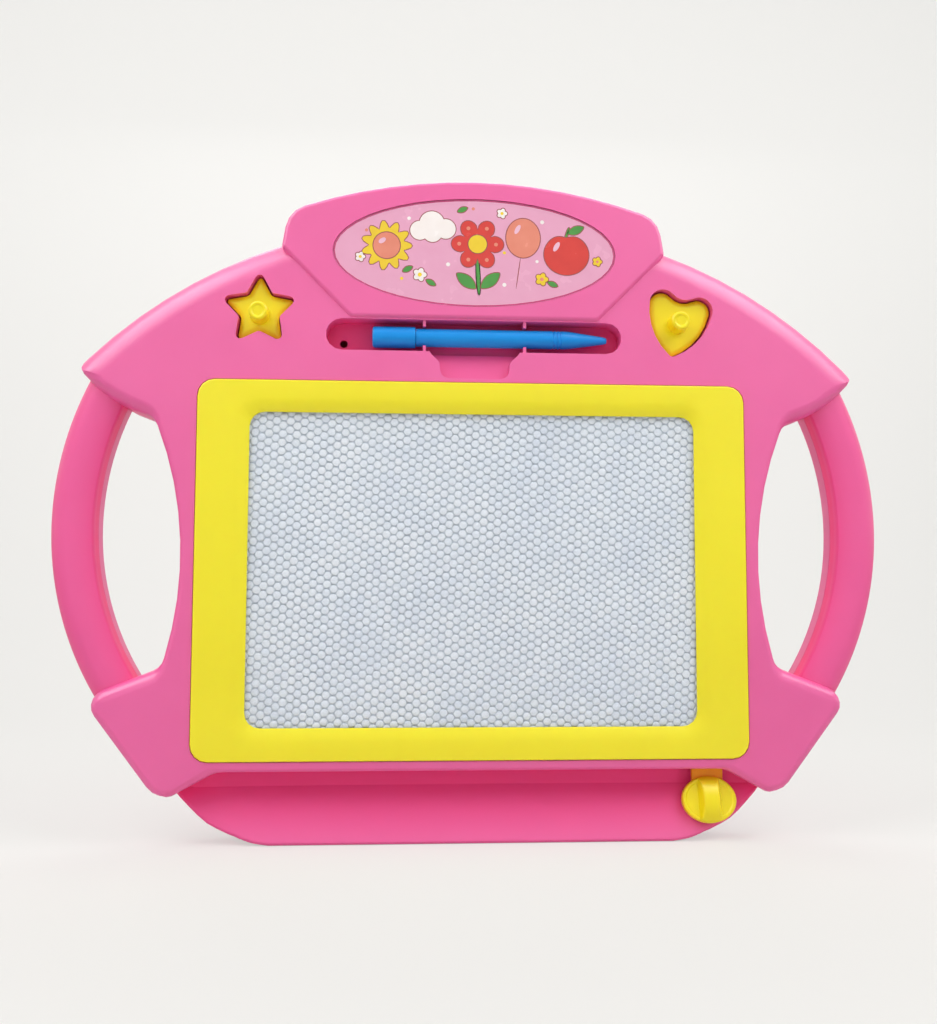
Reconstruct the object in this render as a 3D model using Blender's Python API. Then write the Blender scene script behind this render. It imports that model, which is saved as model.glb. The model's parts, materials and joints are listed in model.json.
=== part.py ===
import math

import bmesh
import bpy
import numpy as np

# Magic slate: a magnetic drawing board that stands on its foot.
# X runs to the right, Z up from the foot, and depths run back along +Y from the board's front face.
# All sizes are in metres.

# Fits
contact_gap = 0.0003
slide_gap = 0.0006
pocket_gap = 0.0008
lip_play = 0.0004
stem_play = 0.0002
least_round = 0.0004

# Shells
wall = 0.0022
split_depth = 0.017
body_depth = 0.030
rear_edge = 0.004
soft_edge = 0.0042
hole_edge = 0.003
collar_edge = 0.0065
edge_flatness = 0.9

# Screen and bezel
view_width = 0.220
view_height = 0.153
view_corner = 0.0073
bevel_width = 0.007
bevel_drop = 0.003
band_side = 0.018
band_end = 0.0085
bezel_corner = 0.0083
bezel_proud = 0.001
bezel_plate = 0.0023
bezel_edge = 0.0008
lip_depth = 0.0005
foot_to_bezel = 0.0404
screen_lap_side = 0.009
screen_lap_end = 0.006
film_thickness = 0.0004
cells_thickness = 0.002
ledge_width = 0.005
ledge_thickness = 0.0016
pocket_wall = 0.002
hook_width = 0.008
hook_thickness = 0.0016
hook_barb = 0.0007
hook_tip = 0.0016
hook_count_end = 3

# Plateau outline, from the bezel's edges
shoulder_reach = 0.0593
shoulder_rise = 0.0069
shoulder_bow = 0.0081
shoulder_round_width = 0.0135
shoulder_round_depth = 0.0115
collar_reach = 0.021
collar_drop = 0.0187
collar_bow = 0.0042
collar_round = 0.009
waist_bow = 0.0107
lobe_top_reach = 0.0148
lobe_top_rise = 0.0445
lobe_round = 0.0095
lobe_reach = 0.0523
lobe_rise = 0.0300
lobe_bottom_reach = 0.0148
lobe_bottom_drop = 0.0195
lobe_corner = 0.011
ceiling_inset = 0.0125
ceiling_drop = 0.0049
ceiling_corner = 0.014
ceiling_edge = 0.002
tip_corner_extra = 0.0002
lobe_tip_extra = 0.0014

# Handles
hand_gap = 0.0427
handle_width = 0.0222
handle_rise = 0.1121
handle_upper_radius = 0.1564
handle_lower_radius = 0.148
handle_embed_up = 0.020
handle_embed_down = 0.016
handle_crown = 0.0055
handle_inner_drop = 0.0045
handle_back_step = 0.0015
handle_back_edge = 0.004
ridge_offset = 0.0015

# Crest and label
crest_half_width = 0.0958
crest_height = 0.0702
crest_side_height = 0.0185
crest_side_lean = 0.003
crest_top_drop = 0.017
crest_foot_half_width = 0.0616
crest_corner = 0.0145
crest_proud = 0.0015
crest_edge = 0.0022
label_half_width = 0.0706
label_half_height = 0.0275
label_rise = 0.0335
label_recess = 0.0012
label_thickness = 0.0003

# Stylus, its well and its finger notch
well_gap_below = 0.0155
well_height = 0.0158
well_length = 0.147
well_land = 0.0004
stylus_axis_depth = 0.0055
barrel_radius = 0.00455
cap_radius = 0.00535
cap_length = 0.0214
stylus_length = 0.1175
stylus_shift = 0.0080
nose_length = 0.0224
nose_radius = 0.0019
groove_count = 3
groove_pitch = 0.0017
groove_depth = 0.00035
bore_radius = 0.003
plug_length = 0.009
tip_magnet_radius = 0.0011
tip_magnet_length = 0.006
clip_spacing = 0.050
clip_width = 0.0015
clip_drop = 0.0012
tie_hole_radius = 0.002
tie_hole_inset = 0.0083
notch_top_width = 0.045
notch_bottom_width = 0.0336
notch_land = 0.0021
notch_shallow = 0.005
notch_deep = 0.009

# Stamps
star_radius = 0.0184
star_inner_radius = 0.0096
star_tip_round = 0.0014
star_inner_round = 0.0025
star_place = (-0.1061, 0.0348)
star_knob_drop = 0.0018
heart_lobe_radius = 0.0061
heart_lobe_offset = 0.0094
heart_lobe_rise = 0.0072
heart_notch_rise = 0.0101
heart_side_radius = 0.031
heart_tip_round = 0.0016
heart_tip_drop = 0.0165
heart_turn = math.radians(11.5)
heart_place = (0.1027, 0.0333)
heart_knob_drop = 0.0013
stamp_face_depth = 0.003
stamp_thickness = 0.0075
stamp_band = 0.0028
stamp_dome = 0.0014
stamp_knob_radius = 0.0047
stamp_knob_proud = 0.0055
stamp_knob_edge = 0.0008
stamp_magnet_rim = 0.0013
stamp_magnet_thickness = 0.0016

# Lower body and trough
foot_front_depth = 0.0032
foot_edge = 0.003
foot_half_inset = 0.0245
foot_corner = 0.012
bowl_reach = 0.012
bowl_top_drop = 0.0074
bowl_bow = 0.0042
trough_depth = 0.014
crease_rise = 0.027

# Eraser
park_margin = 0.0065
knob_half_width = 0.01345
knob_half_height = 0.0112
knob_rise = 0.0202
knob_thickness = 0.0035
knob_edge = 0.0009
grip_width = 0.0112
grip_top_width = 0.0084
grip_proud = 0.0046
stem_width = 0.0154
stem_thickness = 0.0024
stem_lap = 0.002
carriage_width = 0.011
carriage_back_thickness = 0.0023
shoe_height = 0.0045
magnet_width = 0.005
magnet_thickness = 0.003
rail_thickness = 0.002
carriage_screw_radius = 0.0011

# Rear screws
screw_radius = 0.00125
screw_head_radius = 0.0028
screw_head_height = 0.0018
screw_length = 0.009
front_boss_radius = 0.0033
rear_boss_wall = 0.0018
crest_screw_inset = 0.0178
crest_screw_rise = 0.047
shoulder_screw_reach = 0.037
shoulder_screw_rise = 0.006
lobe_screw_reach = 0.028
lobe_screw_rise = 0.0176
foot_screw_inset = 0.060
foot_screw_rise = 0.0092

# Places that follow from the sizes above
bezel_half_width = view_width / 2 + bevel_width + band_side
bezel_half_height = view_height / 2 + bevel_width + band_end
bezel_bottom = foot_to_bezel
bezel_top = bezel_bottom + 2 * bezel_half_height
screen_middle = bezel_bottom + bezel_half_height
well_bottom = bezel_top + well_gap_below
well_top = well_bottom + well_height
well_middle = (well_bottom + well_top) / 2
well_floor = stylus_axis_depth + cap_radius + contact_gap
crest_bottom = well_top + well_land
crest_top = crest_bottom + crest_height
label_middle = crest_bottom + label_rise
ceiling = bezel_bottom - ceiling_drop
waist = bezel_half_width + collar_reach / 2 + lobe_top_reach / 2 - waist_bow
handle_middle = waist + hand_gap + handle_width / 2
handle_height = bezel_bottom + handle_rise
seat_depth = bezel_plate - bezel_proud + contact_gap
lip_end = bezel_plate - bezel_proud + lip_depth + contact_gap + lip_play
film_front = lip_end + contact_gap
cells_front = film_front + film_thickness + contact_gap
film_back = cells_front + cells_thickness + contact_gap
ledge_front = film_back + film_thickness + contact_gap
ledge_back = ledge_front + ledge_thickness
screen_half_width = view_width / 2 + screen_lap_side
screen_half_height = view_height / 2 + screen_lap_end
window_half_height = screen_half_height - ledge_width
magnet_front = ledge_front
carriage_front = ledge_back + contact_gap
groove_floor = magnet_front + magnet_thickness + contact_gap
stem_front = carriage_front + contact_gap + stem_play
stem_back = stem_front + stem_thickness
carriage_rear = max(stem_back, groove_floor) + contact_gap + carriage_back_thickness
knob_place = view_width / 2 + park_margin
slope = (trough_depth - foot_front_depth) / crease_rise
tilt = math.atan(slope)
depth_shift = -(body_depth - max(stamp_knob_proud, crest_proud, bezel_proud)) / 2
stamp_floor = stamp_face_depth + stamp_thickness + contact_gap
star_middle = np.array([star_place[0], bezel_top + star_place[1]])
heart_middle = np.array([heart_place[0], bezel_top + heart_place[1]])
tip_corner = max(soft_edge, collar_edge) + tip_corner_extra


# A side from a to b as a circle's arc: for chord c and bow h the radius is (c*c/4 + h*h) / 2h.
# A positive bow leans to the left of travel. Part 0 is at a and part 1 at b.
def arc_side(a, b, bow, parts):
    a, b = np.array(a, float), np.array(b, float)
    parts = np.asarray(parts, float)[:, None]
    chord = b - a
    length = np.hypot(*chord)
    along = chord / length
    left = np.array([-along[1], along[0]])
    if abs(bow) < 1e-7:
        return a + chord * parts, np.repeat(along[None], len(parts), 0)
    radius = (length**2 / 4 + bow**2) / (2 * bow)
    half = math.asin(max(-1.0, min(1.0, length / (2 * radius))))
    centre = (a + b) / 2 + left * (bow - radius)
    angle = half * (2 * parts - 1)
    points = centre + radius * (np.cos(angle) * left + np.sin(angle) * along)
    tangents = np.cos(angle) * along - np.sin(angle) * left
    return points, tangents


# A polyline through rounded corners. Each corner is (x, z, radius, bow, side steps, edge width).
# A corner of radius r and turn t starts r * tan(t / 2) before its point.
def rounded_path(corners, closed, step_angle=24.0):
    count = len(corners)
    sides = count if closed else count - 1
    ends = []
    for i in range(sides):
        a, b = corners[i], corners[(i + 1) % count]
        _, tangents = arc_side(a[:2], b[:2], a[3], [0.0, 1.0])
        ends.append((math.dist(a[:2], b[:2]), tangents[0], tangents[1]))
    trims = np.zeros(count)
    for i in range(count):
        if not closed and i in (0, count - 1):
            continue
        before, after = ends[i - 1], ends[i]
        turn = math.acos(max(-1.0, min(1.0, float(before[2] @ after[1]))))
        trims[i] = min(corners[i][2] * math.tan(turn / 2), 0.47 * before[0], 0.47 * after[0])
    points, widths = [], []
    for i in range(sides):
        a, b = corners[i], corners[(i + 1) % count]
        low = trims[i] / ends[i][0]
        high = 1 - trims[(i + 1) % count] / ends[i][0]
        line, tangents = arc_side(a[:2], b[:2], a[3], np.linspace(low, high, a[4] + 1))
        points.extend(line)
        widths.extend([a[5]] * len(line))
        k = (i + 1) % count
        if trims[k] == 0:
            if closed or i < sides - 1:
                points.pop()
                widths.pop()
            continue
        start, going = line[-1], tangents[-1]
        next_low = trims[k] / ends[k][0]
        after, leaving = arc_side(b[:2], corners[(k + 1) % count][:2], b[3], [next_low])
        stop, leaving = after[0], leaving[0]
        turn = math.acos(max(-1.0, min(1.0, float(going @ leaving))))
        steps = max(1, math.ceil(math.degrees(turn) / step_angle))
        reach = 4 / 3 * math.tan(turn / 4) * math.dist(start, stop) / (2 * math.sin(max(turn, 0.02) / 2))
        for t in np.arange(1, steps) / steps:
            curve = (
                (1 - t) ** 3 * start
                + 3 * (1 - t) ** 2 * t * (start + going * reach)
                + 3 * (1 - t) * t**2 * (stop - leaving * reach)
                + t**3 * stop
            )
            points.append(curve)
            widths.append((1 - t) * a[5] + t * b[5])
    return np.array(points), np.array(widths)


# A symmetric outline from the corners of its right half, listed from the top down.
def symmetric(corners, step_angle=24.0):
    points, widths = rounded_path(corners, False, step_angle)
    left = points[-2:0:-1] * [-1, 1]
    return np.concatenate([points, left]), np.concatenate([widths, widths[-2:0:-1]])


# Mitred normals: the sum of the two side normals, long enough to move both sides by one.
def outward(points):
    side = np.roll(points, -1, 0) - points
    side /= np.hypot(side[:, 0], side[:, 1])[:, None]
    after = np.stack([side[:, 1], -side[:, 0]], 1)
    before = np.roll(points, 1, 0)
    if np.sum(before[:, 0] * points[:, 1] - points[:, 0] * before[:, 1]) < 0:
        after = -after
    bisector = after + np.roll(after, 1, 0)
    bisector /= np.hypot(bisector[:, 0], bisector[:, 1])[:, None]
    return bisector / np.maximum(np.sum(bisector * after, 1), 0.5)[:, None]


def ring(points, depth):
    depths = np.broadcast_to(np.asarray(depth, float), (len(points),))
    return np.stack([points[:, 0], depths, points[:, 1]], 1)


def make(name, points, faces):
    mesh = bpy.data.meshes.new(name)
    mesh.from_pydata(np.asarray(points, float).tolist(), [], faces)
    work = bmesh.new()
    work.from_mesh(mesh)
    bmesh.ops.recalc_face_normals(work, faces=work.faces[:])
    work.to_mesh(mesh)
    work.free()
    item = bpy.data.objects.new(name, mesh)
    bpy.context.scene.collection.objects.link(item)
    return item


# A skin over rings of equal count, capped at both ends, or closed on itself as a frame.
def loft(name, rings, looped=False):
    count = len(rings[0])
    faces = []
    for level in range(len(rings) if looped else len(rings) - 1):
        low, high = level * count, (level + 1) % len(rings) * count
        for i in range(count):
            j = (i + 1) % count
            faces.append((low + i, low + j, high + j, high + i))
    if not looped:
        faces.append(tuple(range(count)))
        faces.append(tuple(range((len(rings) - 1) * count, len(rings) * count)))
    return make(name, np.concatenate(rings), faces)


# A slab through (depth, inset) levels of one outline.
def slab(name, points, levels):
    normal = outward(points)
    rings = [ring(points - normal * np.reshape(inset, (-1, 1)), depth) for depth, inset in levels]
    return loft(name, rings)


# Levels of an edge rounded as a quarter ellipse, from the flat face to the full outline.
def rounding(face, width, depth, steps, extra=0.0):
    angles = np.linspace(0, math.pi / 2, steps + 1)
    return [(face + depth * (1 - math.cos(a)), extra + width * (1 - math.sin(a))) for a in angles]


def rectangle(half_width, half_height, corner, middle=(0.0, 0.0), steps=4):
    corner = min(corner, half_width * 0.95, half_height * 0.95)
    turns = np.linspace(0, math.pi / 2, steps + 1)
    points = []
    for k, (sx, sz) in enumerate(((1, 1), (-1, 1), (-1, -1), (1, -1))):
        angles = turns + k * math.pi / 2
        x = sx * (half_width - corner) + corner * np.cos(angles)
        z = sz * (half_height - corner) + corner * np.sin(angles)
        points.append(np.stack([x, z], 1))
    return np.concatenate(points) + middle


def ellipse_arc(middle, halves, angles):
    return np.stack([halves[0] * np.cos(angles), halves[1] * np.sin(angles)], 1) + middle


def ellipse(half_width, half_height, middle, steps):
    return ellipse_arc(middle, (half_width, half_height), np.arange(steps) * 2 * math.pi / steps)


def stadium(half_length, radius, middle, steps=7):
    turns = np.linspace(-math.pi / 2, math.pi / 2, steps + 1)
    right = np.stack([half_length - radius + radius * np.cos(turns), radius * np.sin(turns)], 1)
    return np.concatenate([right, -right]) + middle


def box(name, low, high):
    outline = np.array([[low[0], low[2]], [high[0], low[2]], [high[0], high[2]], [low[0], high[2]]])
    return loft(name, [ring(outline, low[1]), ring(outline, high[1])])


# A round bar along the depth from (depth, radius) levels.
def turned(name, middle, levels, steps):
    return loft(name, [ring(ellipse(r, r, middle, steps), depth) for depth, r in levels])


def gather(name, items):
    points, faces, start = [], [], 0
    for item in items:
        points.extend(tuple(v.co) for v in item.data.vertices)
        faces.extend(tuple(v + start for v in face.vertices) for face in item.data.polygons)
        start = len(points)
        bpy.data.objects.remove(item)
    mesh = bpy.data.meshes.new(name)
    mesh.from_pydata(points, [], faces)
    joined = bpy.data.objects.new(name, mesh)
    bpy.context.scene.collection.objects.link(joined)
    return joined


def combine(base, operation, tools):
    for tool in tools:
        modifier = base.modifiers.new(operation.title(), "BOOLEAN")
        modifier.operation = operation
        modifier.solver = "EXACT"
        modifier.object = tool
        bpy.context.view_layer.update()
        graph = bpy.context.evaluated_depsgraph_get()
        mesh = bpy.data.meshes.new_from_object(base.evaluated_get(graph))
        work = bmesh.new()
        work.from_mesh(mesh)
        bmesh.ops.remove_doubles(work, verts=work.verts[:], dist=0.000002)
        rims = [edge for edge in work.edges if edge.is_boundary]
        if rims:
            bmesh.ops.holes_fill(work, edges=rims, sides=6)
            bmesh.ops.recalc_face_normals(work, faces=work.faces[:])
        work.to_mesh(mesh)
        work.free()
        base.modifiers.clear()
        base.data = mesh
        bpy.data.objects.remove(tool)
    return base


def join(base, *tools):
    return combine(base, "UNION", tools)


def cut(base, *tools):
    return combine(base, "DIFFERENCE", tools)


def keep(base, *tools):
    return combine(base, "INTERSECT", tools)


# Outlines

shoulder_start = (crest_half_width - 0.0078, crest_top - 0.0290)
shoulder_tip = (bezel_half_width + shoulder_reach, bezel_top + shoulder_rise)
collar_inner = (bezel_half_width + collar_reach, bezel_top - collar_drop)
lobe_inner = (bezel_half_width + lobe_top_reach, bezel_bottom + lobe_top_rise)
lobe_tip = (bezel_half_width + lobe_reach, bezel_bottom + lobe_rise)
lobe_bottom = (bezel_half_width + lobe_bottom_reach, bezel_bottom - lobe_bottom_drop)


def plateau_outline():
    corners = [
        (0.0, shoulder_start[1], 0.0, 0.0, 1, soft_edge),
        (*shoulder_start, 0.0, shoulder_bow, 6, soft_edge),
        (*shoulder_tip, tip_corner, collar_bow, 4, collar_edge),
        (*collar_inner, collar_round, -waist_bow, 8, hole_edge),
        (*lobe_inner, lobe_round, 0.0, 2, collar_edge),
        (*lobe_tip, tip_corner + lobe_tip_extra, 0.0, 1, soft_edge),
        (*lobe_bottom, lobe_corner, 0.0, 1, soft_edge),
        (bezel_half_width - ceiling_inset, ceiling, ceiling_corner, 0.0, 1, ceiling_edge),
        (0.0, ceiling, 0.0, 0.0, 1, ceiling_edge),
    ]
    return symmetric(corners)


# The upper shoulder's circle run on past the tips, for the wide rounding that ends in a mitre there.
def shoulder_outline():
    line, _ = arc_side(shoulder_start, shoulder_tip, shoulder_bow, np.linspace(-0.3, 1.45, 15))
    far = line[-1]
    right = np.concatenate([[[0.0, line[0][1]]], line, [[far[0], -0.05]], [[0.0, -0.05]]])
    return np.concatenate([right, right[-2:0:-1] * [-1, 1]])


def crest_outline():
    lean = math.atan2(crest_top_drop, crest_half_width - crest_side_lean)
    chord = math.hypot(crest_top_drop, crest_half_width - crest_side_lean)
    side_top = crest_top - crest_top_drop
    corners = [
        (0.0, crest_top, 0.0, chord / 2 * math.tan(lean / 2), 6, 0.0),
        (crest_half_width - crest_side_lean, side_top, crest_corner, 0.0, 1, 0.0),
        (crest_half_width, side_top - crest_side_height, crest_edge + 0.0006, 0.0, 1, 0.0),
        (crest_foot_half_width, crest_bottom, crest_edge + 0.0004, 0.0, 1, 0.0),
        (0.0, crest_bottom, 0.0, 0.0, 1, 0.0),
    ]
    return symmetric(corners)[0]


def bowl_outline(top):
    side = (bezel_half_width + bowl_reach, bezel_bottom - bowl_top_drop)
    corners = [
        (0.0, top, 0.0, 0.0, 1, 0.0),
        (side[0], top, foot_edge + 0.001, 0.0, 1, 0.0),
        (bezel_half_width - foot_half_inset, 0.0, foot_corner, 0.0, 1, 0.0),
        (0.0, 0.0, 0.0, 0.0, 1, 0.0),
    ]
    if top > side[1] + 0.008:
        corners.insert(2, (*side, foot_edge + 0.006, bowl_bow, 7, 0.0))
        return symmetric(corners, 14.0)[0]
    share = top / side[1]
    foot = bezel_half_width - foot_half_inset
    line, _ = arc_side(side, (foot, 0.0), bowl_bow, [1 - share])
    corners[1] = (*line[0], foot_edge + 0.001, bowl_bow * share, 6, 0.0)
    return symmetric(corners, 14.0)[0]


# Every side of the star lies as far from its middle, so a scaled star is the same star grown all round.
def star_outline(grow):
    half = math.pi / 5
    side = math.dist(
        (star_radius, 0.0), (star_inner_radius * math.cos(half), star_inner_radius * math.sin(half))
    )
    reach = star_radius * star_inner_radius * math.sin(half) / side
    scale = 1 + grow / reach
    corners = []
    for k in range(10):
        radius = (star_radius, star_inner_radius)[k % 2] * scale
        angle = math.pi / 2 - k * half
        bend = max(least_round, (star_tip_round + grow, star_inner_round - grow)[k % 2])
        corners.append((radius * math.cos(angle), radius * math.sin(angle), bend, 0.0, 1, 0.0))
    return rounded_path(corners, True, 50.0)[0] + star_middle


# The heart's right half: arcs of a notch circle, a lobe circle, a wide side circle and a tip circle.
# Each touches the next, so the centres stay where they are while the outline grows.
# Where it shrinks past the tip's circle, a small one moves up between the sides.
def heart_outline(grow):
    lobe = np.array([heart_lobe_offset, heart_lobe_rise])
    dip = heart_notch_rise - heart_lobe_rise
    reach = heart_lobe_offset**2 + dip**2 - heart_lobe_radius**2
    notch_radius = reach / (2 * (heart_lobe_radius - dip))
    notch = np.array([0.0, heart_notch_rise + notch_radius])
    to_lobe = heart_side_radius - heart_lobe_radius
    to_tip = heart_side_radius - heart_tip_round
    side = touching_centre(lobe, to_lobe, (0.0, -heart_tip_drop), to_tip)
    tip_radius = max(heart_tip_round + grow, least_round)
    side_radius = heart_side_radius + grow
    tip = np.array([0.0, side[1] - math.sqrt((side_radius - tip_radius) ** 2 - side[0] ** 2)])
    at_notch = math.atan2(*(lobe - notch)[::-1])
    at_lobe = math.atan2(*(lobe - side)[::-1])
    at_tip = math.atan2(*(tip - side)[::-1])
    arcs = [
        (notch, notch_radius - grow, np.linspace(-math.pi / 2, at_notch, 3)),
        (lobe, heart_lobe_radius + grow, np.linspace(at_notch + math.pi, at_lobe, 8)[1:]),
        (side, side_radius, np.linspace(at_lobe, at_tip, 6)[1:]),
        (tip, tip_radius, np.linspace(at_tip, -math.pi / 2, 3)[1:]),
    ]
    right = np.concatenate([ellipse_arc(centre, (r, r), angles) for centre, r, angles in arcs])
    points = np.concatenate([right, right[-2:0:-1] * [-1, 1]])
    cos, sin = math.cos(heart_turn), math.sin(heart_turn)
    return points @ np.array([[cos, -sin], [sin, cos]]) + heart_middle


# The point at the given distances from a and b that lies on the left of the way from b to a.
def touching_centre(a, from_a, b, from_b):
    a, b = np.array(a), np.array(b)
    apart = math.dist(a, b)
    toward = (b - a) / apart
    along = (from_a**2 - from_b**2 + apart**2) / (2 * apart)
    across = math.sqrt(from_a**2 - along**2)
    return a + along * toward + across * np.array([toward[1], -toward[0]])


# Outer skins and cavities. The inner one is the outer one moved in by the wall.


def plateau(inner):
    points, widths = plateau_outline()
    shoulder = shoulder_outline()
    steps = 2 if inner else 3
    inset = wall if inner else 0.0
    low = inset
    edge = np.maximum(widths - inset, 0.0003)
    angles = np.linspace(0, math.pi / 2, steps + 1)
    levels = [
        (low + edge_flatness * edge * (1 - math.cos(a)), inset + edge * (1 - math.sin(a)))
        for a in angles
    ]
    end = split_depth + 0.002
    levels.append((end, inset))
    body = slab("plateau", points, levels)
    round_width = shoulder_round_width - inset
    round_depth = shoulder_round_depth - inset
    curve = rounding(low, round_width, round_depth, 5, inset)
    curve.append((end + 0.004, inset))
    return keep(body, slab("shoulder", shoulder, curve))


def crest(inner):
    inset = wall if inner else 0.0
    front = label_recess - crest_proud + wall if inner else -crest_proud
    end = split_depth + 0.003
    edge = max(crest_edge - inset, 0.0003)
    levels = rounding(front, edge, edge, 1 if inner else 3, inset)
    levels.append((end, inset))
    return slab("crest", crest_outline(), levels)


def lower_body(inner):
    inset = wall if inner else 0.0
    end = split_depth + 0.004
    top = crease_rise + foot_edge
    points = bowl_outline(top)
    normal = outward(points)
    front = foot_front_depth + inset / math.cos(tilt)
    edge = max(foot_edge - inset, 0.0005)
    rings = []
    for depth, move in rounding(front, edge, edge, 1 if inner else 3, inset):
        line = points - normal * move
        rings.append(ring(line, np.minimum(depth + slope * line[:, 1], split_depth - 0.0008)))
    rings.append(ring(points - normal * inset, end))
    slanted = loft("slanted", rings)
    upright = bowl_outline(ceiling + 0.012)
    levels = rounding(trough_depth + inset, 0.001, 0.001, 1, inset)
    levels.append((end, inset))
    return join(slanted, slab("upright", upright, levels))


# The handle's centre line: two arcs that meet where it is furthest out.
def handle_line(reach_up, reach_down):
    up = collar_inner[1] + reach_up - handle_height
    down = handle_height - lobe_inner[1] + reach_down
    centres = []
    for angle in np.linspace(math.asin(up / handle_upper_radius), 0, 5)[:-1]:
        x = handle_middle - handle_upper_radius * (1 - math.cos(angle))
        centres.append((x, handle_height + handle_upper_radius * math.sin(angle), angle))
    for angle in np.linspace(0, math.asin(down / handle_lower_radius), 6):
        x = handle_middle - handle_lower_radius * (1 - math.cos(angle))
        centres.append((x, handle_height - handle_lower_radius * math.sin(angle), -angle))
    return centres


# A handle from a section of (out, depth) points, swept along the centre line.
def handle(name, section, side, reach_up, reach_down):
    rings = []
    for x, z, angle in handle_line(reach_up, reach_down):
        out = np.array([math.cos(angle), math.sin(angle)])
        line = np.array([x, z]) + section[:, :1] * out
        rings.append(np.stack([side * line[:, 0], section[:, 1], line[:, 1]], 1))
    return loft(name, rings)


# The front section: two quarter ellipses that meet on the ridge. The outer one runs down to the seam,
# and the inner one is flatter and ends in an upright wall.
def front_section(inset, end):
    half = handle_width / 2 - inset
    crown = handle_crown + inset
    base = split_depth - contact_gap / 2
    angles = np.linspace(0, math.pi / 2, 3 if inset else 6)
    outer = ellipse_arc((ridge_offset, base), (half - ridge_offset, crown - base), angles)
    angles = np.linspace(math.pi / 2, math.pi, 3 if inset else 5)[1:]
    middle = (ridge_offset, crown + handle_inner_drop)
    inner = ellipse_arc(middle, (half + ridge_offset, -handle_inner_drop), angles)
    return np.concatenate([[(half, end)], outer, inner, [(-half, end)]])


def rear_section(inset, start):
    half = handle_width / 2 - inset
    back = body_depth - handle_back_step - inset
    edge = max(handle_back_edge - inset, 0.0006)
    angles = np.linspace(0, math.pi / 2, 2 if inset else 4)
    corner = ellipse_arc((half - edge, back - edge), (edge, edge), angles)
    return np.concatenate([[(half, start)], corner, corner[::-1] * [-1, 1], [(-half, start)]])


def screw_places():
    places = []
    for side in (1, -1):
        places += [
            (side * (crest_half_width - crest_screw_inset), crest_bottom + crest_screw_rise),
            (side * (bezel_half_width + shoulder_screw_reach), bezel_top + shoulder_screw_rise),
            (side * (bezel_half_width + lobe_screw_reach), bezel_bottom + lobe_screw_rise),
            (side * (bezel_half_width - foot_screw_inset), foot_screw_rise),
        ]
    return places


def hook_places():
    places = []
    reach = bezel_half_width - band_side / 2 + 0.0025
    rise = bezel_half_height - (bezel_half_height - screen_half_height - pocket_wall) / 2
    for side in (1, -1):
        places.append((side * reach, 0.0, side, 0))
        for k in range(hook_count_end):
            x = (k - (hook_count_end - 1) / 2) * view_width * 0.4
            places.append((x, side * rise, 0, side))
    return places


def hook_box(name, place, reach, thick, low, high, shift=0.0):
    x, z, along_x, along_z = place
    if along_x:
        x += along_x * shift
        half = (thick / 2, reach / 2)
    else:
        z += along_z * shift
        half = (reach / 2, thick / 2)
    z += screen_middle
    return box(name, (x - half[0], low, z - half[1]), (x + half[0], high, z + half[1]))


def front_handles(name, inset, more):
    section = front_section(inset, split_depth + 0.001)
    reach = (handle_embed_up + more, handle_embed_down + more)
    return gather(name, [handle("h", section, side, *reach) for side in (1, -1)])


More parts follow.
